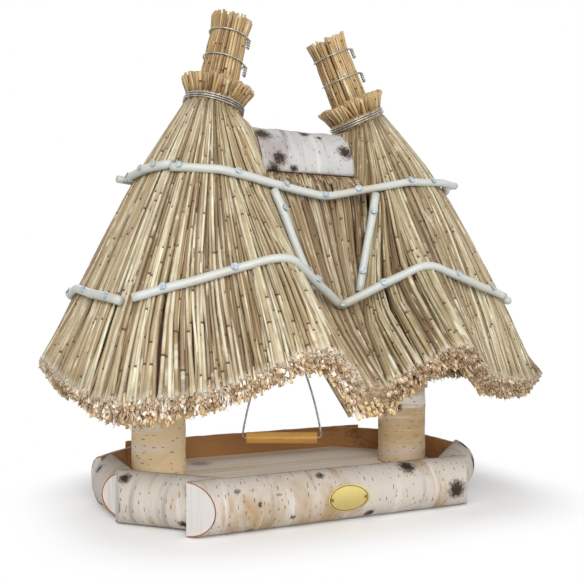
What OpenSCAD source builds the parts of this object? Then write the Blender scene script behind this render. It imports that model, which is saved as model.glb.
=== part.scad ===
// Thatched twin-tower bird feeder on a birch seed tray.
// Millimetres, +Z up, front towards -Y, origin under the middle of the whole.

/* [Seed tray] */
// Inner length of the tray between its two end slabs
tray_length = 416; // [380:1:460]
// Inner width of the tray between its two long slabs
tray_width = 261; // [240:1:280]
// How far each corner of the octagon is cut back along the length and the width
corner_cut = 77; // [66:1:84]
// Height of a half-log rim slab
slab_height = 56; // [48:1:60]
// Thickness of a rim slab from its sawn face to the bark
slab_thick = 28; // [22:1:30]
// Length by which a long slab runs past its corner
long_overhang = 42; // [38:1:48]
// Length by which a diagonal slab runs past the end slab
diagonal_overhang = 22; // [10:1:30]
// Angle of the oblique cut across a slab's end
end_cut_angle = 38; // [20:1:42]
// Thickness of the floor board
floor_thick = 18; // [12:1:22]
// Thickness of the bearers under the floor
bearer_thick = 9; // [6:1:12]
// Width of a bearer
bearer_width = 44; // [30:1:60]
// Distance from the tray's middle to a bearer
bearer_x = 105; // [80:1:125]

/* [Posts and timber] */
// Gap between a post and the end slab
post_inset = 12; // [8:1:16]
// Diameter of a birch post
post_d = 62; // [50:1:66]
// Height of the post tops above the ground
post_top = 236; // [215:1:240]
// Width of the cross timbers
timber_width = 34; // [24:1:40]
// Height of the cross timbers
timber_height = 24; // [18:1:26]
// Half length of the long cross beam
beam_half = 196; // [188:1:198]
// Diameter of the stake inside each tower
stake_d = 22; // [16:1:24]
// Height of the stake tops, under the solid neck of the thatch
stake_top = 430; // [420:1:436]

/* [Thatch] */
// Distance from the middle to each tower's axis
tower_x = 99; // [95:1:103]
// Height of the wire-bound necks
neck_z = 465; // [460:1:476]
// Radius of the bound neck
neck_r = 35; // [32:1:37]
// Height at which the upper rods cross the tower's end
upper_z = 374; // [370:1:378]
// Reach of the thatch from the tower's axis at the upper rods
upper_reach = 95; // [90:1:99]
// Height at which the lower rods cross the tower's corners
lower_z = 236; // [232:1:240]
// Reach at the lower rods, at the tower's end
lower_reach = 154; // [150:1:158]
// Reach of a corner at the lower rods, along each axis
lower_corner = 126; // [122:1:130]
// Reach of the arch's ridge at the lower rods
lower_arch = 175; // [170:1:179]
// Height of the corner eaves' upper edge
eave_z = 145; // [140:1:150]
// Reach of the left tower's eave at its end
left_reach = 196; // [190:1:202]
// Rise of the eave at the left tower's end
left_lift = 32; // [24:1:38]
// Reach of the right tower's eave at its end
right_reach = 232; // [226:1:238]
// Rise of the eave at the right tower's end
right_lift = 8; // [0:1:14]
// Reach of the arched eaves, front and back
arch_reach = 252; // [244:1:258]
// Rise of the arched eaves above the corners
arch_lift = 50; // [42:1:56]
// Reach of the valley's eave, front and back
valley_reach = 211; // [206:1:216]
// Rise of the valley's eave above the corners
valley_lift = 9; // [4:1:14]
// Thickness of the thatch
thatch_thick = 28; // [22:1:30]
// How far the cut reed ends slope inwards
cut_in = 18; // [12:1:22]
// Height of the band of cut reed ends
cut_drop = 24; // [18:1:30]
// How much further that band hangs down in the two valleys
valley_drop = 12; // [4:1:16]
// Depth at the eave of the furrows between the reed bundles
furrow_depth = 6.5; // [4:0.5:8]

/* [Chimneys] */
// Inward lean of the left neck and chimney
left_lean = 12.5; // [8:0.5:18]
// Inward lean of the right neck and chimney
right_lean = 25; // [18:0.5:28]
// Length of a reed chimney above the neck
chimney_length = 113; // [96:1:126]
// Radius of the reed chimney
chimney_r = 24; // [20:0.5:27]
// Radius of the flared reed collar's rim
ruff_r = 44; // [40:1:50]
// Height of the flared reed collar
ruff_height = 20; // [14:1:24]
// Diameter of the binding wire
wire_d = 1.8; // [1.4:0.1:2.2]
// Turns of wire round each neck
neck_turns = 3; // [2:1:4]

/* [Ridge log] */
// Radius of the half log between the towers
ridge_r = 60; // [54:1:62]
// Half length of the ridge log
ridge_half = 60; // [50:1:62]
// Height of the ridge log's flat underside
ridge_z = 388; // [384:1:392]

/* [Rods and nails] */
// Diameter of a peeled willow rod
rod_d = 10; // [8:0.5:11]
// Diameter of a nail's flat head
nail_head_d = 8.2; // [6:0.2:9]
// Diameter of a nail's shank
nail_d = 2.6; // [2:0.1:3]

/* [Swing] */
// Place of the swing along the tray
swing_x = -9; // [-20:1:10]
// Turn of the swing about the vertical
swing_turn = -25; // [-35:1:0]
// Height of the swing's grip above the ground
grip_z = 69; // [66:1:80]
// Length of the wooden grip
grip_length = 87; // [70:1:96]
// Diameter of the wooden grip
grip_d = 13.8; // [11:0.2:16]
// Diameter of the swing's wire
swing_wire_d = 2.4; // [2:0.1:3]
// Tilt of the swing's legs at the grip
leg_tilt = 9; // [6:1:12]
// Tilt of the swing's legs below the apex
apex_tilt = 27; // [24:1:32]
// Radius of the swing's rounded apex
apex_r = 10; // [8:0.5:12]

/* [Plate] */
// Length of the oval brass plate
plate_length = 50; // [36:1:56]
// Height of the oval brass plate
plate_height = 29; // [20:1:34]

/* [Hidden] */
$fn = 28;
// Sides of a nail, a screw, a pin or a hook's wire
fine_sides = 8;

// Clearance between flat faces that meet, and under soft reeds
seat_gap = 0.3;
running_gap = 0.08;
half_length = tray_length / 2;
half_width = tray_width / 2;
post_x = half_length - post_d / 2 - post_inset;
long_half = half_length - corner_cut;
end_half = half_width - corner_cut;
diagonal_length = corner_cut * sqrt(2);
slab_r = (slab_thick * slab_thick + slab_height * slab_height / 4) / (2 * slab_thick);
floor_top = bearer_thick + floor_thick;
arm_top = post_top + timber_height;
beam_top = arm_top + timber_height;
ridge_beam_z = ridge_z - timber_height - seat_gap;
// The whole is centred on its own outline, so the tray stands a little to one side
middle_x = (left_reach - right_reach) / 2;

birch = "#e6ded2";
pine = "#d8c29a";
reed = "#c2a878";
willow = "#f0ebda";
steel = "#9aa3a8";
brass = "#cdb877";

// Frame: the middle of the roof's outline, so every sub-part is moved alike
module placed() {
    translate([middle_x, 0, 0]) children();
}

// General curves

function smooth(p, i, t) =
    let (a = p[max(i - 1, 0)], b = p[i], c = p[min(i + 1, len(p) - 1)],
         d = p[min(i + 2, len(p) - 1)])
    0.5 * (2 * b + (c - a) * t + (2 * a - 5 * b + 4 * c - d) * t * t
        + (3 * b - a - 3 * c + d) * t * t * t);

function along(p, s) =
    let (i = min(floor(s), len(p) - 2))
    smooth(p, i, s - i);

function unit(v) = v / norm(v);

// A section is carried along its route without twisting
function tube_normals(points, i = 0, seed = undef) =
    i == len(points) ? []
    : let (t = unit(points[min(i + 1, len(points) - 1)] - points[max(i - 1, 0)]),
           h = seed == undef ? (abs(t[2]) > 0.9 ? [1, 0, 0] : [0, 0, 1]) : seed,
           first = seed == undef ? unit(cross(t, h)) : unit(h - t * (h * t)))
        concat([[first, cross(t, first)]], tube_normals(points, i + 1, first));

module tube(points, radius, sides) {
    axes = tube_normals(points);
    rings = len(points);
    corners = [for (i = [0 : rings - 1]) for (k = [0 : sides - 1])
        points[i] + radius * (cos(360 * k / sides) * axes[i][0]
            + sin(360 * k / sides) * axes[i][1])];
    walls = [for (i = [0 : rings - 2]) for (k = [0 : sides - 1])
        let (a = i * sides + k, b = i * sides + (k + 1) % sides)
        each [[a, b, b + sides], [a, b + sides, a + sides]]];
    near_cap = [for (k = [1 : sides - 2]) [0, k + 1, k]];
    far = (rings - 1) * sides;
    far_cap = [for (k = [1 : sides - 2]) [far, far + k, far + k + 1]];
    polyhedron(corners, [for (f = concat(walls, near_cap, far_cap)) [f[2], f[1], f[0]]]);
}

// Seed tray

module half_log(height, thick, radius, plan) {
    intersection() {
        translate([0, 0, height / 2]) rotate([0, 90, 0])
            intersection() {
                translate([0, thick - radius, -tray_length]) cylinder(r = radius, h = 2 * tray_length);
                translate([-height, 0, -tray_length]) cube([2 * height, 2 * thick, 2 * tray_length]);
            }
        translate([0, 0, -1]) linear_extrude(height + 2) polygon(plan);
    }
}

end_cut = slab_thick * tan(end_cut_angle);

function long_plan() =
    let (e = long_half + long_overhang)
    [[-e, 0], [e, 0], [e - end_cut, slab_thick], [end_cut - e, slab_thick]];

function end_plan() =
    let (e = end_half - seat_gap)
    [[-e, 0], [e, 0], [e - slab_thick, slab_thick], [slab_thick - e, slab_thick]];

// A diagonal slab butts on the long slab at one end and runs past the end slab at the other
function diagonal_plan() =
    let (butt = diagonal_length / 2 - seat_gap, free = diagonal_length / 2 + diagonal_overhang)
    [[-free, 0], [butt, 0], [butt - slab_thick, slab_thick], [end_cut - free, slab_thick]];

module rim_slab(plan) {
    color(birch) half_log(slab_height, slab_thick, slab_r, plan);
}

module long_slab(side) {
    placed() rotate([0, 0, side > 0 ? 0 : 180]) translate([0, half_width, 0]) rim_slab(long_plan());
}

module end_slab(side) {
    placed() rotate([0, 0, side > 0 ? -90 : 90]) translate([0, half_length, 0])
        rim_slab(end_plan());
}

module diagonal_slab(side_x, side_y) {
    placed() mirror([side_x > 0 ? 1 : 0, 0, 0]) mirror([0, side_y < 0 ? 1 : 0, 0])
        translate([-(long_half + half_length) / 2, (half_width + end_half) / 2, 0])
            rotate([0, 0, 45]) rim_slab(diagonal_plan());
}

module floor_board() {
    a = half_length - seat_gap;
    b = half_width - seat_gap;
    c = corner_cut;
    color(pine) placed() translate([0, 0, bearer_thick]) linear_extrude(floor_thick)
        polygon([[c - a, -b], [a - c, -b], [a, c - b], [a, b - c], [a - c, b], [c - a, b],
            [-a, b - c], [-a, c - b]]);
}

module bearer(side) {
    long = tray_width - 2 * seat_gap;
    color(pine) placed() translate([side * bearer_x, 0, bearer_thick / 2])
        cube([bearer_width, long, bearer_thick], center = true);
}

// A countersunk screw with its head's face at the origin, pointing along +Z
module screw(length, d) {
    cylinder(r1 = d, r2 = d / 2, h = d / 2, $fn = fine_sides);
    cylinder(d = d, h = length, $fn = fine_sides);
}

// A nail with a flat head that stands proud of the origin, pointing along -Z
module nail(length, d, head_d, head_h) {
    cylinder(d = head_d, h = head_h, $fn = fine_sides);
    translate([0, 0, -length]) cylinder(d = d, h = length, $fn = 6);
}

screw_d = 4;
screw_recess = 1;
bearer_screw_y = [-0.38, -0.13, 0.13, 0.38];

module bearer_screws() {
    color(steel) placed() for (side = [-1, 1]) for (y = bearer_screw_y)
        translate([side * bearer_x, y * tray_width, screw_recess])
            screw(bearer_thick + floor_thick * 0.7, screw_d);
}

module post(side) {
    color(birch) placed() translate([side * post_x, 0, floor_top])
        cylinder(d = post_d, h = post_top - floor_top);
}

module post_screws() {
    color(steel) placed() for (side = [-1, 1]) for (y = [-1, 1])
        translate([side * post_x, y * post_d / 4, bearer_thick + screw_recess])
            screw(floor_thick + 40, screw_d);
}

// Nails through each slab into the edge of the floor board, their heads sunk under the bark
rim_nail_z = bearer_thick + floor_thick / 2;
rim_nail_sink = 3;
rim_nail_length = 44;

module rim_nail() {
    bark = sqrt(slab_r * slab_r - pow(slab_height / 2 - rim_nail_z, 2)) - slab_r + slab_thick;
    translate([0, bark - rim_nail_sink, rim_nail_z]) rotate([-90, 0, 0])
        nail(rim_nail_length - rim_nail_sink, nail_d, 6, 1);
}

module rim_nails() {
    color(steel) placed() {
        for (turn = [0, 180]) rotate([0, 0, turn]) translate([0, half_width, 0])
            for (x = [-0.75, 0.75]) translate([x * long_half, 0, 0]) rim_nail();
        for (turn = [-90, 90]) rotate([0, 0, turn]) translate([0, half_length, 0]) rim_nail();
        for (mx = [0, 1]) for (my = [0, 1]) mirror([mx, 0, 0]) mirror([0, my, 0])
            translate([-(long_half + half_length) / 2, (half_width + end_half) / 2, 0])
                rotate([0, 0, 45]) rim_nail();
    }
}

// Oval plate, curved to lie on the front slab's bark

plate_thick = 1;
plate_x = -2;
bark_y = half_width + slab_thick - slab_r;

module plate_outline() {
    polygon([for (k = [0 : 47]) [plate_length / 2 * cos(k * 7.5), plate_height / 2 * sin(k * 7.5)]]);
}

module oval_plate() {
    color(brass) placed() translate([plate_x, -bark_y, slab_height / 2]) intersection() {
        rotate([0, 90, 0]) difference() {
            cylinder(r = slab_r + 0.1 + plate_thick, h = 2 * plate_length, center = true);
            cylinder(r = slab_r + 0.1, h = 3 * plate_length, center = true);
        }
        rotate([90, 0, 0]) linear_extrude(2 * slab_r) plate_outline();
    }
}

module plate_pins() {
    color(brass) placed() for (side = [-1, 1])
        translate([plate_x + side * (plate_length / 2 - 4.5), -bark_y - slab_r - 0.1 - plate_thick,
            slab_height / 2]) rotate([90, 0, 0]) nail(12, 1.6, 4, 1);
}

// Timber inside the roof

// An arm's corners stay this far from its tower's axis, inside the thatch
arm_corner_reach = lower_arch * 0.75;
arm_half = sqrt(pow(arm_corner_reach, 2) - pow(post_x + timber_width / 2 - tower_x, 2));

module arm(side) {
    color(pine) placed() translate([side * post_x, 0, post_top + timber_height / 2])
        cube([timber_width, 2 * arm_half, timber_height], center = true);
}

module cross_beam() {
    color(pine) placed() translate([0, 0, arm_top + timber_height / 2])
        cube([2 * beam_half, timber_width, timber_height], center = true);
}

module stake(side) {
    color(pine) placed() translate([side * tower_x, 0, beam_top])
        cylinder(d = stake_d, h = stake_top - seat_gap - beam_top);
}

module ridge_beam() {
    length = 2 * (tower_x - stake_d / 2 - seat_gap);
    color(pine) placed() translate([0, 0, ridge_beam_z + timber_height / 2])
        cube([length, timber_width, timber_height], center = true);
}

module timber_screws() {
    color(steel) placed() for (side = [-1, 1]) {
        translate([side * post_x, 0, beam_top + screw_recess - 2]) mirror([0, 0, 1])
            screw(2 * timber_height + 30, screw_d);
        translate([side * tower_x, 0, arm_top + 1]) screw(timber_height + 30, screw_d);
        translate([side * (tower_x + stake_d / 2 - 1), 0, ridge_beam_z + timber_height / 2])
            rotate([0, -90 * side, 0]) screw(stake_d + 30, screw_d);
    }
}

module ridge_log() {
    color(birch) placed() translate([0, 0, ridge_z]) intersection() {
        rotate([0, 90, 0]) cylinder(r = ridge_r, h = 2 * ridge_half, center = true);
        translate([-ridge_half - 1, -ridge_r - 1, 0])
            cube([2 * ridge_half + 2, 2 * ridge_r + 2, ridge_r + 2]);
    }
}

module ridge_screws() {
    color(steel) placed() for (side = [-1, 1])
        translate([side * ridge_half / 2, 0, ridge_beam_z - 0.2 + screw_recess])
            screw(timber_height + 30, screw_d);
}

// Thatch: every reed runs from the neck over the upper and the lower rods to the eave.
// Rows are lists of [outwards, sideways, height] from a tower's axis, from the valley
// round the end to the other valley.

function half_row(valley, valley_near, arch, flank, corner, shoulder, end) =
    let (half = [valley, valley_near, arch, flank, corner, shoulder, end])
    concat(half, [for (i = [5 : -1 : 0]) [half[i][0], -half[i][1], half[i][2]]]);

neck_angles = [112, 104, 92, 68, 45, 22, 0];

function lean(side) = side < 0 ? left_lean : right_lean;

// A point of a leaning neck's own frame, from the tower's axis
function leaning(side, p) =
    let (a = lean(side))
    [p[0] * cos(a) - p[2] * sin(a), p[1], neck_z + p[0] * sin(a) + p[2] * cos(a)];

function neck_point(side, angle, r) = leaning(side, [r * cos(angle), r * sin(angle), 0]);

function neck_row(side) =
    let (h = [for (a = neck_angles) neck_point(side, a, neck_r)])
    half_row(h[0], h[1], h[2], h[3], h[4], h[5], h[6]);

// The right tower is fuller than the left, most of all at its shoulder
function fuller(side) = side < 0 ? 0 : 15;
function lower_fuller(side) = side < 0 ? 0 : 4;

function upper_row(side) =
    let (r = upper_reach + fuller(side), flat = r - 3)
    half_row([-39, flat, upper_z - 21], [-30, flat - 2, upper_z - 13], [-10, flat - 4, upper_z - 2],
        [0.36 * r, 0.88 * r, upper_z + 5], [0.69 * r, 0.69 * r, upper_z + 6],
        [0.93 * r, 0.37 * r, upper_z + 3], [r, 0, upper_z]);

function lower_row(side) =
    let (f = lower_fuller(side), c = lower_corner + f)
    half_row([-73, 131, lower_z - 6], [-58, 148, lower_z + 14], [-17, lower_arch, lower_z + 43],
        [60, (lower_arch + c) / 2 - 3, lower_z + 22], [c, c, lower_z],
        [lower_reach + f - 2, 62, lower_z + 7], [lower_reach + f, 0, lower_z + 13]);

function end_reach(side) = side < 0 ? left_reach : right_reach;
function end_lift(side) = side < 0 ? left_lift : right_lift;

function eave_row(side) =
    let (e = end_reach(side), lift = end_lift(side), c = 0.5 * e + 52)
    half_row([-87, valley_reach, eave_z + valley_lift], [-62, valley_reach + 22, eave_z + 30],
        [-17, arch_reach, eave_z + arch_lift], [66, (arch_reach + 134) / 2, eave_z + 12],
        [c, 138, eave_z], [e - 9, 70, eave_z + lift * 0.5], [e, 0, eave_z + lift]);

function rows(side) = [neck_row(side), upper_row(side), lower_row(side), eave_row(side)];

station_steps = 5;
cowl_steps = 2;
saddle_steps = 2;
row_steps = 2;

// The outer face at a station, 0 to 12 from valley to valley, and a row, 0 to 3 from neck to eave
function outer(side, station, row) =
    along([for (r = rows(side)) along(r, station)], row);

function inwards(p, depth, drop) =
    let (r = norm([p[0], p[1]]))
    [p[0] * (1 - depth / r), p[1] * (1 - depth / r), p[2] - drop];

inner_neck_r = stake_d / 2 + 3;

// One at a valley, none two stations away from it
function near_valley(station) = max(0, 1 - min(station, 12 - station) * 0.4);

function inner_rows(side) =
    let (rs = rows(side), s = thatch_thick)
    [
        [for (p = rs[0]) let (r = norm([p[0], p[1]]))
            [p[0] * inner_neck_r / r, p[1] * inner_neck_r / r, stake_top]],
        [for (p = rs[1]) inwards(p, s * 0.86, s * 0.5)],
        [for (p = rs[2]) inwards(p, s * 0.9, s * 0.45)],
        [for (i = [0 : 12]) inwards(rs[3][i], cut_in, cut_drop + valley_drop * near_valley(i))],
    ];

function grid(rs, stations, steps) =
    [for (j = [0 : 3 * row_steps]) [for (i = [0 : stations * steps])
        along([for (r = rs) along(r, i / steps)], j / row_steps)]];

// Every other column of an outer face lies in a furrow, which fades out towards the neck
function furrowed(g) =
    [for (j = [0 : len(g) - 1]) let (d = furrow_depth * j / (len(g) - 1))
        [for (i = [0 : len(g[j]) - 1]) i % 2 == 0 ? g[j][i] : inwards(g[j][i], d * 0.86, d * 0.5)]];

// A closed sheet between an outer and an inner grid of points
module sheet(outside, inside) {
    m = len(outside);
    n = len(outside[0]);
    all_points = concat([for (r = outside) each r], [for (r = inside) each r]);
    k = m * n;
    faces = concat(
        [for (j = [0 : m - 2]) for (i = [0 : n - 2]) let (a = j * n + i, b = a + n)
            each [[a, b, b + 1], [a, b + 1, a + 1], [k + a, k + b + 1, k + b],
                [k + a, k + a + 1, k + b + 1]]],
        [for (i = [0 : n - 2]) let (a = i, b = (m - 1) * n + i)
            each [[a, a + 1, k + a + 1], [a, k + a + 1, k + a], [b, k + b + 1, b + 1],
                [b, k + b, k + b + 1]]],
        [for (j = [0 : m - 2]) let (a = j * n, b = j * n + n - 1)
            each [[a, k + a, k + a + n], [a, k + a + n, a + n], [b, k + b + n, k + b],
                [b, b + n, k + b + n]]]);
    polyhedron(all_points, faces);
}

// Short reeds on a tower's inner side, that end at the ridge log
cowl_angles = [100, 118, 138, 158, 180];

function cowl_ends() =
    let (u = ridge_half + seat_gap - tower_x, r = ridge_r - 6)
    [[u + 8, upper_reach - 14, upper_z - 8], [u, r + 20, ridge_z - 12], [u, r, ridge_z + 10],
        [u, r * 0.7, ridge_z + r * 0.7], [u, 0, ridge_z + r]];

function both_ways(h) =
    concat([for (p = h) [p[0], -p[1], p[2]]], [for (i = [len(h) - 2 : -1 : 0]) h[i]]);

function cowl_rows(side, r, ends, start_z) =
    let (top = both_ways([for (a = cowl_angles) start_z == undef ? neck_point(side, a, r)
            : [r * cos(a), r * sin(a), start_z]]),
         low = both_ways(ends))
    [for (t = [0 : 3]) [for (i = [0 : len(top) - 1]) top[i] + (low[i] - top[i]) * t / 3]];

module thatch(side) {
    ends = cowl_ends();
    low = [for (e = ends) [e[0] + 2, e[1] * 0.8, e[2] - thatch_thick * 0.6]];
    color(reed) placed() mirror([side < 0 ? 1 : 0, 0, 0]) translate([tower_x, 0, 0]) {
        sheet(furrowed(grid(rows(side), 12, station_steps)), grid(inner_rows(side), 12, station_steps));
        sheet(grid(cowl_rows(side, neck_r - 1, ends), 8, cowl_steps),
            grid(cowl_rows(side, inner_neck_r + 2, low, stake_top + 1), 8, cowl_steps));
        bound_neck(side);
    }
}

// The solid neck, which rests on the stake and carries the binding wire
module bound_neck(side) {
    hull() {
        translate([0, 0, stake_top]) cylinder(r = inner_neck_r + 6, h = 1, $fn = 32);
        translate([0, 0, neck_z]) rotate([0, -lean(side), 0]) translate([0, 0, -2])
            cylinder(r = neck_r, h = neck_band + 2, $fn = 32);
    }
}

// Reeds that hang from under the ridge log and fill the valley between the towers
function saddle_row(half, y, z) = [for (x = [1, 0, -1]) [x * half, -y, z]];

function saddle_rows(cut) =
    let (r = upper_reach - 3, near = tower_x - seat_gap, t = thatch_thick)
    [saddle_row(near - 41 - cut * 2, 72 - cut * t * 0.9, ridge_z - seat_gap - cut * 0.5),
        saddle_row(near - 39 - cut * 4, r - cut * t * 0.9, upper_z - 22 - cut * t * 0.3),
        saddle_row(near - 73 - cut * 2, 131 - cut * t * 0.9, lower_z - 7 - cut * t * 0.4),
        saddle_row(near - 87, valley_reach - cut * cut_in,
            eave_z + valley_lift - 1 - cut * (cut_drop + valley_drop))];

module thatch_saddle(side) {
    color(reed) placed() mirror([0, side > 0 ? 1 : 0, 0])
        sheet(furrowed(grid(saddle_rows(0), 2, saddle_steps)), grid(saddle_rows(1), 2, saddle_steps));
}

// Necks, collars and chimneys, each in its leaning neck's own frame

module on_neck(side) {
    placed() mirror([side < 0 ? 1 : 0, 0, 0]) translate([tower_x, 0, neck_z])
        rotate([0, -lean(side), 0]) children();
}

neck_wire_pitch = wire_d + 0.9;
neck_band = neck_turns * neck_wire_pitch + wire_d;
loop_points = 18;

// The winding's straight steps clear the round neck at their middles
function neck_wire_route() =
    let (r = (neck_r + wire_d / 2 + seat_gap) / cos(180 / loop_points), n = neck_turns * loop_points)
    [for (i = [0 : n]) [r * cos(i * 360 / loop_points), r * sin(i * 360 / loop_points),
        wire_d / 2 + neck_wire_pitch * i / loop_points]];

function least_gap(p, d, apart) =
    min([for (i = [0 : len(p) - 1]) for (j = [i + apart : 1 : len(p) - 1]) norm(p[i] - p[j])]) - d;

echo(least_gap_of_neck_wire = least_gap(neck_wire_route(), wire_d, 12));

module neck_wire(side) {
    color(steel) on_neck(side) tube(neck_wire_route(), wire_d / 2, 6);
}

module ruff(side) {
    low = neck_band + seat_gap;
    color(reed) on_neck(side) rotate_extrude() polygon([[chimney_r + 0.6, low],
        [neck_r - 1, low], [neck_r + 2, low + 6], [ruff_r, low + ruff_height],
        [ruff_r - 6, low + ruff_height + 2], [chimney_r + 4, low + ruff_height - 5],
        [chimney_r + 0.6, low + ruff_height - 9]]);
}

module chimney(side) {
    r = chimney_r;
    l = chimney_length;
    low = neck_band + seat_gap;
    color(reed) on_neck(side) rotate_extrude() polygon([[0, low], [r, low], [r, 0.38 * l],
        [r - 0.7, 0.54 * l], [r - 0.2, 0.66 * l], [r - 1.6, 0.82 * l], [r + 2, l], [0, l + 1]]);
}

// A loop of wire whose two ends are twisted together
tail_turns = 2;
tail_length = 12;
tail_gap = 1.5;

function wire_loop(r, z) =
    let (a = 8, q = r + tail_gap + 0.6, tail = [for (i = [0 : 4 * tail_turns])
            let (t = i / (4 * tail_turns))
            [q + 1, tail_gap * cos(360 * tail_turns * t), -tail_length * t - 1.5,
                tail_gap * sin(360 * tail_turns * t)]],
        ring = [for (i = [0 : loop_points]) let (w = a + i * (360 - 2 * a) / loop_points)
            [r * cos(w), r * sin(w), z]])
    concat([for (i = [len(tail) - 1 : -1 : 0]) let (p = tail[i]) [p[0] + p[3], p[1], z + p[2]]],
        ring,
        [for (p = tail) [p[0] - p[3], -p[1], z + p[2]]]);

// Each loop's place along the chimney, its turn and how far the reeds are drawn in there
chimney_wire_places = [[0.54, 25, 0.7], [0.82, 40, 1.6]];

module chimney_wires(side) {
    color(steel) on_neck(side) for (w = chimney_wire_places)
        rotate([0, 0, side < 0 ? 180 + w[1] : -w[1]])
            tube(wire_loop(chimney_r - w[2] + wire_d / 2 + 0.4, w[0] * chimney_length), wire_d / 2, 6);
}

echo(least_gap_of_chimney_wire = least_gap(wire_loop(chimney_r + 1.3, 0), wire_d, 9));

// Peeled rods, laid on the thatch and bent at the corners and ridges

function world(side, p) = [side * (tower_x + p[0]), p[1], p[2]];

// A place on the roof, lifted off the reeds by a distance along the slope's normal
function on_roof(side, station, row, off) =
    let (p = outer(side, station, row), r = norm([p[0], p[1]]))
    world(side, [p[0] * (1 + off * 0.86 / r), p[1] * (1 + off * 0.86 / r), p[2] + off * 0.5]);

rest = rod_d / 2 + 0.4;
under = -(thatch_thick + rod_d / 2 + 1.2);

function rounded(p) =
    concat([p[0]], [for (i = [1 : 1 : len(p) - 2]) each
        [p[i] + (p[i - 1] - p[i]) * 0.12, p[i] * 0.9 + (p[i - 1] + p[i + 1]) * 0.05,
            p[i] + (p[i + 1] - p[i]) * 0.12]], [p[len(p) - 1]]);

function flip(p, on) = [for (q = p) [q[0], on ? -q[1] : q[1], q[2]]];

// Stations count from +Y to -Y, so the front of a tower has the high numbers
function valley_point(row, off) =
    let (p = outer(-1, 12, row))
    [0, p[1] - off * 0.86, p[2] + off * 0.5];

// The long rod runs past the corner of the tower at its stub end
function upper_long(stub, off) = [on_roof(-stub, 7.9, 1, off), on_roof(-stub, 9.3, 1, off),
    valley_point(1, off), on_roof(stub, 9.6, 1, off), on_roof(stub, 8.2, 1, off + 1),
    world(stub, [upper_reach + 5 + fuller(stub) / 2, -60, upper_z + 11])];

function upper_end(side, off) =
    let (row = side < 0 ? 0.965 : 1)
    [for (s = [7.9, 7, 6, 5, 4.1]) on_roof(side, s, row, off)];

// Over the arch the left rod lies a little higher than the right one
function lower_side(side, off) =
    let (row = side < 0 ? 1.965 : 2.03)
    [valley_point(2, off), on_roof(side, 10, row, off), on_roof(side, side < 0 ? 8 : 8.2, 1.98, off)];

function lower_end(side, off) = [on_roof(side, 7.8, 2, off), on_roof(side, 7, 2, off),
    on_roof(side, 6, 2, off), on_roof(side, 5, 2, off), on_roof(side, 4.2, 2, off)];

function valley_side(side, off) = [on_roof(side, 11.8, 1.06, off), on_roof(side, 12, 1.85, off)];

module rod(route, radius = rod_d / 2, sides = 8) {
    tube(rounded(route), radius, sides);
}

module upper_rod_long(back) {
    color(willow) placed() rod(flip(upper_long(back ? -1 : 1, rest), back));
}

module upper_rod_end(side) {
    color(willow) placed() rod(upper_end(side, rest));
}

module lower_rod_side(side, back) {
    color(willow) placed() rod(flip(lower_side(side, rest), back));
}

module lower_rod_end(side) {
    color(willow) placed() rod(lower_end(side, rest));
}

module valley_rods(back) {
    color(willow) placed() for (side = [-1, 1]) rod(flip(valley_side(side, rest), back));
}

inner_rod_r = rod_d / 2 - 1;

module inner_rods_upper() {
    color(willow) placed() for (side = [-1, 1])
        rod([for (s = [3 : 9]) on_roof(side, s, 1, under)], inner_rod_r, 6);
}

module inner_rods_lower() {
    color(willow) placed() for (side = [-1, 1])
        rod([for (s = [2 : 10]) on_roof(side, s, 2, under)], inner_rod_r, 6);
}

// Nails at fractions along a rod's straight stretches, square to the slope
nail_length = thatch_thick + rod_d + 6;
nail_head_h = 1;

module nail_at(p) {
    side = p[0] < 0 ? -1 : 1;
    out = abs(p[0]) < 20 ? [0, p[1], 0] : [p[0] - side * tower_x, p[1], 0];
    turn = atan2(out[1], out[0]);
    translate(p) rotate([0, 0, turn]) rotate([0, 60, 0]) translate([0, 0, rod_d / 2])
        nail(nail_length, nail_d, nail_head_d, nail_head_h);
}

module nails_along(route, places) {
    for (w = places) let (i = min(floor(w), len(route) - 2))
        nail_at(route[i] + (route[i + 1] - route[i]) * (w - i));
}

module rod_nails_side(back) {
    color(steel) placed() mirror([0, back ? 1 : 0, 0]) {
        nails_along(upper_long(back ? -1 : 1, rest), [0.2, 1.15, 1.6, 2, 2.4, 3, 3.6]);
        for (side = [-1, 1]) {
            nails_along(lower_side(side, rest), [0.5, 1.35, 1.8]);
            nails_along(valley_side(side, rest), [0.12, 0.8]);
        }
        nails_along([valley_point(2, rest), valley_point(1, rest)], [0]);
    }
}

module rod_nails_ends() {
    color(steel) placed() for (side = [-1, 1]) {
        nails_along(upper_end(side, rest), [0.6, 1.2, 2.8, 3.4]);
        nails_along(lower_end(side, rest), [0.4, 1.3, 2.7, 3.6]);
    }
}

// Swing: a wire bail with a loose wooden grip, hung from a hook under the cross beam

pin_half = grip_length / 2 + 1;
bend_r = 4;
leg_start = pin_half + bend_r * cos(leg_tilt);
leg_start_z = bend_r * (1 + sin(leg_tilt));
leg_r = (leg_start - apex_r * cos(apex_tilt)) / (cos(leg_tilt) - cos(apex_tilt));
apex_z = leg_start_z + leg_r * (sin(apex_tilt) - sin(leg_tilt)) + apex_r * (1 - sin(apex_tilt));
hook_wire_d = 3;
hook_r = 6;
hook_drop = (swing_wire_d + hook_wire_d) / 2 + seat_gap;

module at_swing() {
    placed() translate([swing_x, 0, grip_z]) rotate([0, 0, swing_turn]) children();
}

// An arc of wire in the X-Z plane round a centre, from one angle to another
module wire_arc(x, z, r, from, to, d) {
    translate([x, 0, z]) rotate([90, 0, 0]) rotate([0, 0, from])
        rotate_extrude(angle = to - from, $fn = 24) translate([r, 0]) circle(d = d, $fn = fine_sides);
}

function arc(x, z, r, from, to, steps) =
    [for (i = [0 : steps]) let (a = from + (to - from) * i / steps) [x + r * cos(a), 0, z + r * sin(a)]];

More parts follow.
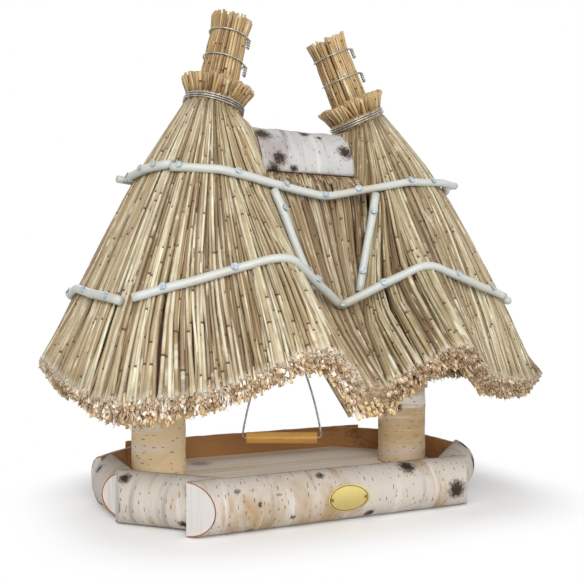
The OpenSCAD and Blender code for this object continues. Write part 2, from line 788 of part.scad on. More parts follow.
function bail_half() = concat([[pin_half - 0.6, 0, 0]], arc(pin_half, bend_r, bend_r, -80, leg_tilt, 5),
    arc(leg_start - leg_r * cos(leg_tilt), leg_start_z - leg_r * sin(leg_tilt), leg_r,
        leg_tilt + 3, apex_tilt - 1, 6),
    arc(0, apex_z - apex_r, apex_r, apex_tilt, 76, 4));

function bail_route() =
    let (h = bail_half())
    concat(h, [[0, 0, apex_z]], [for (i = [len(h) - 1 : -1 : 0]) [-h[i][0], 0, h[i][2]]]);

module swing_wire() {
    color(steel) at_swing() {
        rotate([0, 90, 0]) cylinder(d = swing_wire_d, h = 2 * pin_half, center = true);
        tube(bail_route(), swing_wire_d / 2 - 0.02, 6);
    }
}

module swing_grip() {
    color("#cf9f56") at_swing() rotate([0, 90, 0]) difference() {
        cylinder(d = grip_d, h = grip_length, center = true);
        cylinder(d = swing_wire_d + 2 * running_gap, h = 2 * grip_length, center = true);
        for (end = [0, 1]) mirror([0, 0, end]) translate([0, 0, grip_length / 2 - 4])
            cylinder(d1 = swing_wire_d + 2 * running_gap, d2 = 6, h = 4.01);
    }
}

// The hook's bend lies across the bail's apex
module swing_hook() {
    hook_z = apex_z - hook_drop + hook_r;
    top = arm_top - grip_z;
    color(steel) at_swing() translate([0, 0, hook_z]) rotate([0, 0, 90]) {
        wire_arc(0, 0, hook_r, -200, 90, hook_wire_d);
        translate([0, 0, hook_r]) cylinder(d = hook_wire_d, h = top - hook_z - hook_r + 16);
        translate([0, 0, top - hook_z - 2]) cylinder(d = 9, h = 1.8);
    }
}

floor_board();
bearer(-1);  // bearer_left
bearer(1);  // bearer_right
bearer_screws();
long_slab(-1);  // rim_front
diagonal_slab(-1, -1);  // rim_front_left
end_slab(-1);  // rim_left
diagonal_slab(-1, 1);  // rim_back_left
long_slab(1);  // rim_back
diagonal_slab(1, 1);  // rim_back_right
end_slab(1);  // rim_right
diagonal_slab(1, -1);  // rim_front_right
rim_nails();
oval_plate();
plate_pins();
post(-1);  // post_left
post(1);  // post_right
post_screws();
arm(-1);  // arm_left
arm(1);  // arm_right
cross_beam();
stake(-1);  // stake_left
stake(1);  // stake_right
ridge_beam();
timber_screws();
thatch(-1);  // thatch_left
thatch(1);  // thatch_right
thatch_saddle(-1);  // thatch_saddle_front
thatch_saddle(1);  // thatch_saddle_back
neck_wire(-1);  // neck_wire_left
neck_wire(1);  // neck_wire_right
ruff(-1);  // ruff_left
ruff(1);  // ruff_right
chimney(-1);  // chimney_left
chimney(1);  // chimney_right
chimney_wires(-1);  // chimney_wires_left
chimney_wires(1);  // chimney_wires_right
ridge_log();
ridge_screws();
upper_rod_long(false);  // upper_rod_front
upper_rod_long(true);  // upper_rod_back
upper_rod_end(-1);  // upper_rod_left
upper_rod_end(1);  // upper_rod_right
lower_rod_side(-1, false);  // lower_rod_front_left
lower_rod_side(1, false);  // lower_rod_front_right
lower_rod_side(-1, true);  // lower_rod_back_left
lower_rod_side(1, true);  // lower_rod_back_right
lower_rod_end(-1);  // lower_rod_left
lower_rod_end(1);  // lower_rod_right
valley_rods(false);  // valley_rods_front
valley_rods(true);  // valley_rods_back
inner_rods_upper();
inner_rods_lower();
rod_nails_side(false);  // rod_nails_front
rod_nails_side(true);  // rod_nails_back
rod_nails_ends();
swing_hook();
swing_wire();
swing_grip();
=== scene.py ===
"""Thatched twin-tower bird feeder: birch seed tray, reed roof, reed chimneys and a perch swing."""
import math

import bmesh
import bpy
import numpy as np
from mathutils import Matrix, Vector, noise


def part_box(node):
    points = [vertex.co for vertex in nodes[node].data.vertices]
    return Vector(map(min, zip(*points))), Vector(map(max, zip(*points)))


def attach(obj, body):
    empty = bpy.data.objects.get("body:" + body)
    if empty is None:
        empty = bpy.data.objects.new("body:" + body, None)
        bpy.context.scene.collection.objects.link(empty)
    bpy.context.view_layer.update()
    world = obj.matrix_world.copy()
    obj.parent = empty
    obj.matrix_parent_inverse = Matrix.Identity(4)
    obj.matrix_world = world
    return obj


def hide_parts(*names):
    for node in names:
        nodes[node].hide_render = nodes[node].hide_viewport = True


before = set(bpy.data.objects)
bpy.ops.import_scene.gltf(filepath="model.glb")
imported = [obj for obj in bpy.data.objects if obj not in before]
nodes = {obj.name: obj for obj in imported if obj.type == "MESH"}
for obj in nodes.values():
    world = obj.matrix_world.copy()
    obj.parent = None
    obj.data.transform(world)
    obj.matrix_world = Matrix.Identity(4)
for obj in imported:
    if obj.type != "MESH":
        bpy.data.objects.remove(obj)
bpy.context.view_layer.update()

MM = 0.001
# Fixed seeds for the random draws and the noise vectors give the same reeds and rods on every run
SEED = 11
rng = np.random.default_rng(SEED)
noise.seed_set(SEED)

# Camera, light and floor

camera_data = bpy.data.cameras.new("camera")
camera_data.lens = 50.2
camera_data.sensor_width = 36
camera_data.shift_y = 0.0171
camera = bpy.data.objects.new("camera", camera_data)
camera.location = (-0.4393, -0.9188, 0.2368)
camera.rotation_euler = (math.radians(90), 0, math.radians(-24.88))
bpy.context.scene.collection.objects.link(camera)
bpy.context.scene.camera = camera
bpy.context.scene.view_settings.view_transform = "Standard"


def linear(code):
    """An sRGB hex colour as Blender's linear colour."""
    parts = [int(code[i : i + 2], 16) / 255 for i in (1, 3, 5)]
    return tuple(c / 12.92 if c <= 0.04045 else ((c + 0.055) / 1.055) ** 2.4 for c in parts) + (1.0,)


def feed(tree, n, inputs):
    """Fills a node's inputs: a value or a hex colour is set, and a socket is linked."""
    for key, value in inputs.items():
        if isinstance(value, bpy.types.NodeSocket):
            tree.links.new(value, n.inputs[key])
        else:
            n.inputs[key].default_value = linear(value) if isinstance(value, str) else value


def put(tree, kind, inputs=None, **settings):
    """Adds a node with its settings, then its inputs."""
    n = tree.nodes.new(kind)
    for key, value in settings.items():
        setattr(n, key, value)
    feed(tree, n, inputs or {})
    return n


def lamp(name, place, aim, size, power, colour):
    """A square lamp aimed at a point, in metres and watts."""
    data = bpy.data.lights.new(name, "AREA")
    data.size, data.energy, data.color = size, power, linear(colour)[:3]
    o = bpy.data.objects.new(name, data)
    o.location = place
    o.rotation_euler = (Vector(aim) - Vector(place)).to_track_quat("-Z", "Y").to_euler()
    bpy.context.scene.collection.objects.link(o)


lamp("key_softbox", (-1.5, -1.9, 1.9), (0, 0, 0.25), 1.2, 27, "#fffdf8")
lamp("fill_softbox", (2.2, -1.6, 1.0), (0, 0, 0.2), 2.0, 12, "#f8faff")
lamp("front_card", (-0.55, -2.0, 0.72), (0, 0, 0.05), 1.0, 29, "#ffffff")
lamp("under_roof_card", (-0.02, -0.03, 0.19), (-0.02, 0.0, 0.0), 0.2, 0.09, "#fff8ee")
lamp("back_softbox", (0.4, 2.2, 1.8), (0, 0, 0.3), 1.8, 14, "#ffffff")

world = bpy.data.worlds.new("pale studio")
world.use_nodes = True
bpy.context.scene.world = world
wt = world.node_tree
wt.nodes.clear()
rays = put(wt, "ShaderNodeLightPath")
seen = put(wt, "ShaderNodeMath", {0: rays.outputs["Is Camera Ray"], 1: rays.outputs["Is Glossy Ray"]},
           operation="MAXIMUM")
plain = put(wt, "ShaderNodeBackground", {"Color": "#f3f6fb", "Strength": 0.62})
white = put(wt, "ShaderNodeBackground", {"Color": (1, 1, 1, 1), "Strength": 1.0})
world_mix = put(wt, "ShaderNodeMixShader", {0: seen.outputs[0], 1: plain.outputs[0], 2: white.outputs[0]})
put(wt, "ShaderNodeOutputWorld", {"Surface": world_mix.outputs[0]})


def new_material(name):
    """An empty material, its node tree, and its Principled shader linked to the output."""
    m = bpy.data.materials.new(name)
    m.use_nodes = True
    tree = m.node_tree
    tree.nodes.clear()
    shader = put(tree, "ShaderNodeBsdfPrincipled")
    put(tree, "ShaderNodeOutputMaterial", {"Surface": shader.outputs[0]})
    return m, tree, shader


def ramp(tree, factor, stops):
    """A colour ramp from (place, hex colour) stops."""
    r = put(tree, "ShaderNodeValToRGB", {0: factor})
    while len(r.color_ramp.elements) < len(stops):
        r.color_ramp.elements.new(0.5)
    for e, (place, code) in zip(r.color_ramp.elements, stops):
        e.position, e.color = place, linear(code)
    return r.outputs["Color"]


def blend(tree, factor, a, b, how="MIX"):
    """Colour a turned into colour b by a factor."""
    return put(tree, "ShaderNodeMix", {0: factor, 6: a, 7: b}, data_type="RGBA", blend_type=how).outputs[2]


def maths(tree, operation, a, b=0.0, c=0.0):
    return put(tree, "ShaderNodeMath", {0: a, 1: b, 2: c}, operation=operation).outputs[0]


def between(tree, value, low, high, to_low=0.0, to_high=1.0):
    """A smooth step of a value, from one pair of limits to another."""
    return put(tree, "ShaderNodeMapRange", {0: value, 1: low, 2: high, 3: to_low, 4: to_high},
               interpolation_type="SMOOTHSTEP").outputs[0]


def stretched(tree, vector, scale, place=(0, 0, 0)):
    return put(tree, "ShaderNodeMapping", {"Vector": vector, "Scale": scale, "Location": place}).outputs[0]


def cloud(tree, vector, scale, detail=3.0, rough=0.5, twist=0.0):
    return put(tree, "ShaderNodeTexNoise", {"Vector": vector, "Scale": scale, "Detail": detail,
               "Roughness": rough, "Distortion": twist}).outputs["Fac"]


def vectors(tree, operation, *inputs):
    return put(tree, "ShaderNodeVectorMath", dict(enumerate(inputs)), operation=operation).outputs


def attribute(tree, name):
    return put(tree, "ShaderNodeAttribute", attribute_name=name).outputs["Fac"]


def object_place(tree):
    return put(tree, "ShaderNodeTexCoord").outputs["Object"]


def bump(tree, height, strength, distance):
    """The normal of a surface raised by a height; the distance is in metres."""
    return put(tree, "ShaderNodeBump", {"Height": height, "Strength": strength, "Distance": distance}).outputs[0]


# White card floor: it takes the feeder's shadow close by, and turns into plain white further out.
# The card is plain as far as CARD_HALF from the middle and fades over FADE beyond it, in metres.
CARD_HALF, FADE = (0.16, 0.09, 1), (0.075, 0.19)
floor_card, ft, fs = new_material("White card floor")
feed(ft, fs, {"Base Color": "#f4f4f4", "Roughness": 0.9})
beyond = vectors(ft, "SUBTRACT", vectors(ft, "ABSOLUTE", object_place(ft))[0], CARD_HALF)[0]
away = vectors(ft, "LENGTH", vectors(ft, "MAXIMUM", beyond, (0, 0, 0))[0])["Value"]
glow = put(ft, "ShaderNodeEmission", {"Color": (1, 1, 1, 1), "Strength": 1.0})
card = put(ft, "ShaderNodeMixShader", {0: between(ft, away, *FADE), 1: fs.outputs[0], 2: glow.outputs[0]})
ft.links.new(card.outputs[0], ft.nodes["Material Output"].inputs["Surface"])
floor_bm = bmesh.new()
bmesh.ops.create_circle(floor_bm, cap_ends=True, segments=64, radius=6)
floor_mesh = bpy.data.meshes.new("floor")
floor_bm.to_mesh(floor_mesh)
floor = bpy.data.objects.new("floor", floor_mesh)
floor.location.z = -0.0004
floor_mesh.materials.append(floor_card)
bpy.context.scene.collection.objects.link(floor)

# Materials

# Along a reed, in millimetres: its blotches, the dark ring at a joint, and the brown sleeve above the ring
BLOTCH, RING, SLEEVE = 45, 2.4, 16.0


def reed_material(name, hues, end_hue, joint_hue, rough, end_share, tone="#ffffff"):
    """Dry water reed. reed_tint is each stem's own shade and reed_run its length from the cut end."""
    m, t, s = new_material(name)
    tint, run, cut = (attribute(t, f"reed_{word}") for word in ("tint", "run", "cut"))
    base = ramp(t, tint, hues)
    # Blotches change a stem's shade along its length
    place = put(t, "ShaderNodeCombineXYZ", {
        0: maths(t, "MULTIPLY", tint, 631.0), 1: maths(t, "MULTIPLY", run, 1 / BLOTCH),
        2: maths(t, "MULTIPLY", tint, 87.0)}).outputs[0]
    blotch = cloud(t, place, 1.0, 4, 0.6)
    shade = blend(t, between(t, blotch, 0.42, 0.72), base, "#7d6243")
    shade = blend(t, 0.55, base, shade)
    shade = blend(t, between(t, blotch, 0.30, 0.44, 0.55, 0), shade, "#efe3c6")
    # The joints of a stem are 90 to 150 mm apart
    gap = maths(t, "MULTIPLY_ADD", tint, 60.0, 90.0)
    phase = maths(t, "FRACT", maths(t, "DIVIDE", maths(t, "MULTIPLY_ADD", tint, 7919.0, run), gap))
    past = maths(t, "MULTIPLY", phase, gap)
    shade = blend(t, between(t, past, RING, SLEEVE, 0.42, 0.0), shade, "#8a6238")
    ring = maths(t, "MULTIPLY", maths(t, "LESS_THAN", past, RING), 0.85)
    shade = blend(t, ring, shade, joint_hue)
    # The freshly cut end is paler, and the hollow inside it is painted dark brown as its shade
    shade = blend(t, between(t, run, 1.0, 9.0, end_share, 0.0), shade, end_hue)
    shade = blend(t, cut, shade, "#6d4a2c")
    grain = cloud(t, stretched(t, place, (1, 14, 1)), 2.0, 3)
    feed(t, s, {"Base Color": blend(t, 1.0, shade, tone, "MULTIPLY"), "Roughness": rough,
                "Specular IOR Level": 0.35, "Normal": bump(t, grain, 0.15, 0.0003)})
    return m


reed = reed_material(
    "Dry water reed",
    [(0.0, "#6e553a"), (0.12, "#93795a"), (0.28, "#b09a76"), (0.46, "#c6b594"), (0.64, "#d8cbae"), (0.8, "#b7a27c"),
     (0.9, "#9c8058"), (1.0, "#7b6043")],
    "#d9c7b0", "#3c2a1c", 0.55, 0.45, "#f0f8ff")
brown_reed = reed_material(
    "Browner reed of the right tower",
    [(0.0, "#5b4530"), (0.14, "#7f6748"), (0.32, "#9f8a65"), (0.52, "#b8a683"), (0.7, "#cabb9b"), (0.85, "#a58c63"),
     (1.0, "#6e5539")],
    "#d6c0a6", "#33241a", 0.55, 0.45, "#f0f8ff")
old_reed = reed_material(
    "Weathered reed of the saddles",
    [(0.0, "#4f3b29"), (0.14, "#6e593e"), (0.32, "#8a7757"), (0.52, "#a09072"), (0.7, "#b3a58a"), (0.85, "#907955"),
     (1.0, "#5f4931")],
    "#bfa98c", "#2e2017", 0.6, 0.35, "#f0f0f0")
golden_reed = reed_material(
    "Golden reed of the chimneys",
    [(0.0, "#745634"), (0.2, "#9b7d50"), (0.45, "#b89a68"), (0.7, "#cdb68a"), (0.88, "#a98a5a"), (1.0, "#7c5f3c")],
    "#c9af86", "#3c2a1c", 0.55, 0.3, "#f0f0f0")
ends_reed = reed_material(
    "Cut reed ends",
    [(0.0, "#7a5a38"), (0.2, "#b8966a"), (0.45, "#ddcab2"), (0.7, "#faf0e6"), (0.86, "#bf9a6c"), (1.0, "#6a4a2c")],
    "#e8d8c4", "#5f452e", 0.6, 0.12)
brown_ends = reed_material(
    "Browner cut reed ends of the right tower",
    [(0.0, "#4a3320"), (0.2, "#876746"), (0.45, "#b6946c"), (0.7, "#e0cbb0"), (0.86, "#92704a"), (1.0, "#432d1c")],
    "#cdb7a0", "#4c3726", 0.6, 0.1)
stubble = reed_material(
    "Golden stubble under the arch",
    [(0.0, "#6a4a28"), (0.25, "#a27e4c"), (0.5, "#cdb07e"), (0.75, "#e6d2ab"), (1.0, "#76532e")],
    "#dbc39a", "#5c4128", 0.6, 0.15)
dark_reed = reed_material(
    "Shaded inner reed",
    [(0.0, "#4f3a25"), (0.4, "#7a5c3a"), (0.8, "#9a7b50"), (1.0, "#6a4d30")],
    "#cbb08c", "#33241a", 0.65, 0.4)
splinter = reed_material(
    "Frayed reed ends",
    [(0.0, "#7c5c3c"), (0.3, "#d6c09c"), (0.7, "#fff7ec"), (1.0, "#a5825a")],
    "#e2cfb6", "#94714a", 0.6, 0.1)

# The packed reed behind the stems is painted very dark brown, as the shade in the gaps between the stems, in darker and
# lighter patches
packed, pt, ps = new_material("Packed reed in painted shade behind the stems")
patches = maths(pt, "MULTIPLY", attribute(pt, "reed_tint"), 0.3)
packed_shade = maths(pt, "MULTIPLY_ADD", cloud(pt, object_place(pt), 90, 4), 0.7, patches)
feed(pt, ps, {"Base Color": ramp(pt, packed_shade, [(0.2, "#2e2115"), (0.5, "#553e28"), (0.8, "#7d6040")]),
              "Roughness": 0.85})


def bark_material(name, pale, warm, cool, tone):
    """Birch bark, peeled in thin layers round the log. The UV map runs along and round the log, in
    hundreds of millimetres, and the scar attribute marks branch scars and dark patches."""
    m, t, s = new_material(name)
    uv = put(t, "ShaderNodeUVMap", uv_map="bark").outputs[0]
    scar = attribute(t, "scar")
    wide = cloud(t, stretched(t, uv, (2.2, 0.9, 1)), 1.0, 4, 0.55, 0.4)
    bands = cloud(t, stretched(t, uv, (6.0, 0.5, 1), (3, 1, 0)), 1.0, 3, 0.5)
    base = blend(t, between(t, wide, 0.5, 0.68), pale, warm)
    base = blend(t, between(t, bands, 0.57, 0.72, 0, 0.6), base, cool)
    base = blend(t, between(t, bands, 0.3, 0.42, 0.8, 0), base, "#f7f3ee")
    # Fine peeling streaks round the log, about 2 mm wide
    streak = cloud(t, stretched(t, uv, (46, 5, 1)), 1.0, 4, 0.65)
    base = blend(t, between(t, streak, 0.55, 0.75, 0, 0.5), base, warm)
    base = blend(t, between(t, streak, 0.28, 0.4, 0.35, 0), base, "#b9aca2")
    # Lenticels: dark dashes 1 to 5 mm long round the log and about 1 mm wide, one to a cell
    cells = stretched(t, uv, (15, 9, 1))
    dashes = put(t, "ShaderNodeTexVoronoi", {"Vector": cells, "Scale": 1.0, "Randomness": 1.0},
                 voronoi_dimensions="2D").outputs
    own = put(t, "ShaderNodeSeparateColor", {0: dashes["Color"]}).outputs
    offset = vectors(t, "SUBTRACT", cells, dashes["Position"])[0]
    step = put(t, "ShaderNodeSeparateXYZ", {0: offset}).outputs
    thin, long = (maths(t, "LESS_THAN", maths(t, "ABSOLUTE", step[axis]),
                        maths(t, "MULTIPLY_ADD", own[axis + 1], more, least))
                  for axis, more, least in ((0, 0.05, 0.035), (1, 0.16, 0.06)))
    dash = maths(t, "MULTIPLY", maths(t, "MULTIPLY", thin, long), maths(t, "GREATER_THAN", own[0], 0.38))
    base = blend(t, maths(t, "MULTIPLY", dash, 0.85), base, "#6e4c38")
    # Branch scars, cracked and nearly black, with a grey edge
    rag = cloud(t, stretched(t, uv, (30, 22, 1)), 1.0, 5, 0.7)
    worn = maths(t, "MULTIPLY_ADD", maths(t, "SUBTRACT", rag, 0.5), 1.3, scar)
    base = blend(t, between(t, worn, 0.22, 0.5, 0, 0.85), base, "#8d7f75")
    base = blend(t, between(t, worn, 0.45, 0.72), base, "#372a22")
    height = maths(t, "ADD", maths(t, "MULTIPLY", streak, 0.5),
                   maths(t, "SUBTRACT", maths(t, "MULTIPLY", dash, 0.5), maths(t, "MULTIPLY", worn, 0.8)))
    feed(t, s, {"Base Color": blend(t, 1.0, base, tone, "MULTIPLY"), "Roughness": 0.72,
                "Specular IOR Level": 0.3, "Normal": bump(t, height, 0.5, 0.0012)})
    return m


birch = bark_material("Birch bark", "#e6ddd0", "#c6aa80", "#9c9189", "#c8c6c6")
post_birch = bark_material("Tan birch bark of the left post", "#dfc8a1", "#c8a676", "#d8cfc4", "#ffffff")
# The right post's bark is a darker copy of the left post's: painted shade, for the shade under the right tower
shaded_copy_birch = bark_material("Birch bark of the right post, darker as painted shade", "#cfb792", "#b99769", "#cbc0bd", "#ffffff")
old_birch = bark_material("Old weathered birch bark", "#ddd9da", "#bcb3b3", "#7a7475", "#ccceca")


def grained(name, pale, dark, along, grain_mm, rough, knots=0.0, gloss=0.3):
    """Sawn or turned wood with its grain along an axis, stretched 25 times, and darker late wood."""
    m, t, s = new_material(name)
    place = object_place(t)
    scale = [1000 / grain_mm] * 3
    scale[along] /= 25
    figure = cloud(t, stretched(t, place, scale), 1.0, 5, 0.6, 0.5)
    broad = cloud(t, stretched(t, place, [c / 6 for c in scale]), 1.0, 2)
    mixed = maths(t, "MULTIPLY_ADD", broad, 0.5, maths(t, "MULTIPLY", figure, 0.5))
    colour = ramp(t, mixed, [(0.32, pale), (0.5, pale), (0.68, dark)])
    if knots:
        spots = put(t, "ShaderNodeTexVoronoi", {"Vector": stretched(t, place, (7, 7, 7)), "Scale": 1.0})
        colour = blend(t, between(t, spots.outputs["Distance"], 0.05, 0.14, knots, 0), colour, "#5c3a1f")
    feed(t, s, {"Base Color": colour, "Roughness": rough, "Specular IOR Level": gloss,
                "Normal": bump(t, figure, 0.2, 0.0005)})
    return m


board = grained("Bare pine floor board", "#f0e8dc", "#d8c4a4", 0, 5, 0.7, 0.5)
inner_pine = grained("Sawn pine timber", "#d7bd8c", "#b08f5c", 0, 4, 0.7, 0.4)
sawn_long = grained("Sawn inner face of birch", "#a27547", "#71482a", 0, 4, 0.6, 0.8)
end_grain = grained("Birch end grain", "#bebab6", "#ab9f96", 2, 3, 0.75)
bark_edge = grained("Bark edge", "#8a5637", "#5d3622", 2, 2, 0.8)
beech = grained("Varnished beech", "#cf9a43", "#b87b2d", 0, 2.5, 0.32, 0, 0.5)

# Willow, peeled while green and dried: pale and smooth, with faint tan flecks
willow, lt, ls = new_material("Peeled willow")
rod_place = object_place(lt)
fleck, wash = cloud(lt, rod_place, 130, 4, 0.6), cloud(lt, rod_place, 18, 3)
peeled = blend(lt, between(lt, wash, 0.45, 0.75, 0, 0.7), "#b1b3ae", "#a7a390")
peeled = blend(lt, between(lt, fleck, 0.66, 0.76, 0, 0.55), peeled, "#94734b")
feed(lt, ls, {"Base Color": peeled, "Roughness": 0.42, "Normal": bump(lt, wash, 0.3, 0.001)})


def metal(name, base, other, rough, shine, spangle):
    """A metal with a mottled surface; spangle is the mottling's size in millimetres."""
    m, t, s = new_material(name)
    mottle = cloud(t, object_place(t), 1000 / spangle, 2)
    feed(t, s, {"Base Color": blend(t, between(t, mottle, 0.35, 0.65), base, other),
                "Roughness": between(t, mottle, 0.3, 0.7, rough - 0.08, rough + 0.1), "Metallic": shine})
    return m


zinc = metal("Hot-dip galvanised steel", "#b7c3ca", "#8f9ca5", 0.5, 0.5, 3)
wire_steel = metal("Galvanised binding wire", "#b4b1aa", "#8c8a83", 0.4, 0.75, 4)
pin_brass = metal("Darker brass pins", "#a58a45", "#6f5a2a", 0.4, 0.85, 2)

# Brass plate: satin and plain, with an engraved line at nine tenths of its half width
LINE_AT, LINE_HALF = 0.9, 0.024
brass, bt, bs = new_material("Satin brass plate")
plate_low, plate_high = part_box("oval_plate")
plate_mid = (plate_low + plate_high) / 2
plate_half = (plate_high - plate_low) / 2
face = stretched(bt, object_place(bt), (1 / plate_half.x, 0, 1 / plate_half.z),
                 (-plate_mid.x / plate_half.x, 0, -plate_mid.z / plate_half.z))
line = maths(bt, "COMPARE", vectors(bt, "LENGTH", face)["Value"], LINE_AT, LINE_HALF)
brushed = cloud(bt, stretched(bt, object_place(bt), (300, 300, 2500)), 1.0, 2)
brass_shade = blend(bt, brushed, "#d6c386", "#bba55f")
feed(bt, bs, {"Base Color": blend(bt, maths(bt, "MULTIPLY", line, 0.9), brass_shade, "#3f3420"),
              "Metallic": 0.85, "Roughness": 0.36})

# Sizes, in millimetres

MIDDLE_X = -18
TRAY_HALF_X, TRAY_HALF_Y, CORNER_CUT = 208, 130.5, 77
SLAB_HEIGHT, SLAB_THICK = 56, 28
LONG_OVERHANG, DIAGONAL_OVERHANG = 42, 22
END_CUT = SLAB_THICK * math.tan(math.radians(38))
FLOOR_TOP, POST_TOP, POST_X, POST_R = 27, 236, 165, 31
TOWER_X, NECK_Z, NECK_R = 99, 465, 35
UPPER_Z, UPPER_REACH = 374, 95
LOWER_Z, LOWER_REACH, LOWER_CORNER, LOWER_ARCH = 236, 154, 126, 175
EAVE_Z, ARCH_REACH, ARCH_LIFT, VALLEY_REACH, VALLEY_LIFT = 145, 252, 50, 211, 9
END_REACH, END_LIFT, LEAN = {-1: 196, 1: 232}, {-1: 32, 1: 8}, {-1: 12.5, 1: 25}
THATCH_THICK, CUT_IN, CUT_DROP, VALLEY_DROP = 28, 18, 24, 12
CORNER_DROP, END_FLARE = 7, 12
CHIMNEY_LENGTH, CHIMNEY_R, RUFF_R, RUFF_HEIGHT = 113, 24, 44, 20
WIRE_D, NECK_TURNS = 1.8, 3
WIRE_PITCH = WIRE_D + 0.9
NECK_BAND = NECK_TURNS * WIRE_PITCH + WIRE_D
RIDGE_R, RIDGE_HALF, RIDGE_Z = 60, 60, 388
ROD_D = 10
GAP = 0.3
SADDLE_FLOW = 14
# Rows of the roof: where its reeds start to turn down into the cut edge, over what span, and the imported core's last
EAVE_TURN, TURN_SPAN, CORE_ROW = 2.45, 0.55, 2.93
SIDE_NAME = {-1: "left", 1: "right"}

# Helpers for pieces


def finish(name, shape, materials, body, *replaced, slot, smooth=True):
    """Makes a piece from a BMesh or a mesh in millimetres and hands it to its body."""
    mesh = shape
    if isinstance(shape, bmesh.types.BMesh):
        mesh = bpy.data.meshes.new(name)
        shape.to_mesh(mesh)
        shape.free()
    mesh.transform(Matrix.Scale(MM, 4))
    for m in materials:
        mesh.materials.append(m)
    if smooth:
        mesh.polygons.foreach_set("use_smooth", [True] * len(mesh.polygons))
    o = bpy.data.objects.new(name, mesh)
    bpy.context.scene.collection.objects.link(o)
    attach(o, body)
    if replaced:
        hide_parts(*replaced)
    return o


def tube(name, lines, radius, material, body, replaced, slot="galvanised_steel", sides=8, taper=None):
    """Round wires or rods along lines of points, as one mesh; taper gives the radius's share along a line."""
    data = bpy.data.curves.new(name, "CURVE")
    data.dimensions = "3D"
    data.bevel_depth = radius
    data.bevel_resolution = max(0, sides // 2 - 2)
    data.use_fill_caps = True
    for line in lines:
        s = data.splines.new("POLY")
        s.points.add(len(line) - 1)
        for i, p in enumerate(line):
            s.points[i].co = (*p, 1)
            s.points[i].radius = taper(i / (len(line) - 1)) if taper else 1
    holder = bpy.data.objects.new(name, data)
    bpy.context.scene.collection.objects.link(holder)
    mesh = bpy.data.meshes.new_from_object(holder.evaluated_get(bpy.context.evaluated_depsgraph_get()))
    mesh.materials.clear()
    bpy.data.objects.remove(holder)
    bpy.data.curves.remove(data)
    bm = bmesh.new()
    bm.from_mesh(mesh)
    bpy.data.meshes.remove(mesh)
    bmesh.ops.remove_doubles(bm, verts=bm.verts, dist=0.001)
    bmesh.ops.recalc_face_normals(bm, faces=bm.faces)
    finish(name, bm, [material], body, replaced, slot=slot)


def weights(s, count):
    """Catmull-Rom neighbours and weights at places s on a line of count points."""
    i = np.clip(np.floor(s).astype(int), 0, count - 2)
    t = (s - i)[..., None]
    near = [np.clip(i - 1, 0, None), i, i + 1, np.clip(i + 2, None, count - 1)]
    w = [0.5 * (-t + 2 * t**2 - t**3), 0.5 * (2 - 5 * t**2 + 3 * t**3), 0.5 * (t + 4 * t**2 - 3 * t**3),
         0.5 * (t**3 - t**2)]
    return near, w


def along(points, s):
    near, w = weights(np.asarray(s, float), len(points))
    return sum(w[k] * points[near[k]] for k in range(4))


def unit(v):
    return v / np.maximum(np.linalg.norm(v, axis=-1, keepdims=True), 1e-9)


# The roof's surface


def leaning(side, p):
    """A point of a leaning neck's own frame, from the tower's axis."""
    a = math.radians(LEAN[side])
    p = np.asarray(p, float)
    return np.stack([p[..., 0] * math.cos(a) - p[..., 2] * math.sin(a), p[..., 1],
                     NECK_Z + p[..., 0] * math.sin(a) + p[..., 2] * math.cos(a)], -1)


def both_halves(half):
    """Points from the front to the middle, and their mirror images on to the back."""
    return np.array(half + [[p[0], -p[1], p[2]] for p in half[-2::-1]], float)


def roof_rows(side):
    """The rows at the neck, the upper rods, the lower rods and the eave, valley to valley."""
    full, low_full = (0, 0) if side < 0 else (15, 4)
    neck = both_halves([list(leaning(side, (NECK_R * math.cos(math.radians(a)),
                       NECK_R * math.sin(math.radians(a)), 0))) for a in (112, 104, 92, 68, 45, 22, 0)])
    r, f = UPPER_REACH + full, UPPER_REACH + full - 3
    upper = both_halves([[-39, f, UPPER_Z - 21], [-30, f - 2, UPPER_Z - 13], [-10, f - 4, UPPER_Z - 2],
                         [0.36 * r, 0.88 * r, UPPER_Z + 5], [0.69 * r, 0.69 * r, UPPER_Z + 6],
                         [0.93 * r, 0.37 * r, UPPER_Z + 3], [r, 0, UPPER_Z]])
    c = LOWER_CORNER + low_full
    lower = both_halves([[-73, 131, LOWER_Z - 6], [-58, 148, LOWER_Z + 14], [-17, LOWER_ARCH, LOWER_Z + 43],
                         [60, (LOWER_ARCH + c) / 2 - 3, LOWER_Z + 22], [c, c, LOWER_Z],
                         [LOWER_REACH + low_full - 2, 62, LOWER_Z + 7], [LOWER_REACH + low_full, 0, LOWER_Z + 13]])
    e, lift = END_REACH[side], END_LIFT[side]
    eave = both_halves([[-87, VALLEY_REACH, EAVE_Z + VALLEY_LIFT], [-62, VALLEY_REACH + 22, EAVE_Z + 30],
                        [-17, ARCH_REACH, EAVE_Z + ARCH_LIFT], [66, (ARCH_REACH + 134) / 2, EAVE_Z + 12],
                        [0.5 * e + 52, 138, EAVE_Z], [e - 9, 70, EAVE_Z + lift * 0.5], [e, 0, EAVE_Z + lift]])
    return np.stack([neck, upper, lower, eave])


ROWS = {side: roof_rows(side) for side in SIDE_NAME}


def roof(side, station, row):
    """Points of the outer face, from the tower's axis, at stations 0 to 12 and rows 0 to 3."""
    station, row = np.broadcast_arrays(np.asarray(station, float), np.asarray(row, float))
    shape = station.shape
    lines = np.stack([along(r, station.ravel()) for r in ROWS[side]])
    near, w = weights(row.ravel(), 4)
    pick = np.arange(lines.shape[1])
    return sum(w[k] * lines[near[k], pick] for k in range(4)).reshape(*shape, 3)


def slope_out(side, station, row):
    """The outward direction, square to the roof."""
    e = 0.02
    across = roof(side, station + e, row) - roof(side, station - e, row)
    down = roof(side, station, np.minimum(row + e, 3)) - roof(side, station, np.minimum(row + e, 3) - 2 * e)
    n = unit(np.cross(across, down))
    p = roof(side, station, row)
    flip = np.sign(n[..., 0] * p[..., 0] + n[..., 1] * p[..., 1] + 0.3 * n[..., 2] * 100)
    return n * flip[..., None]


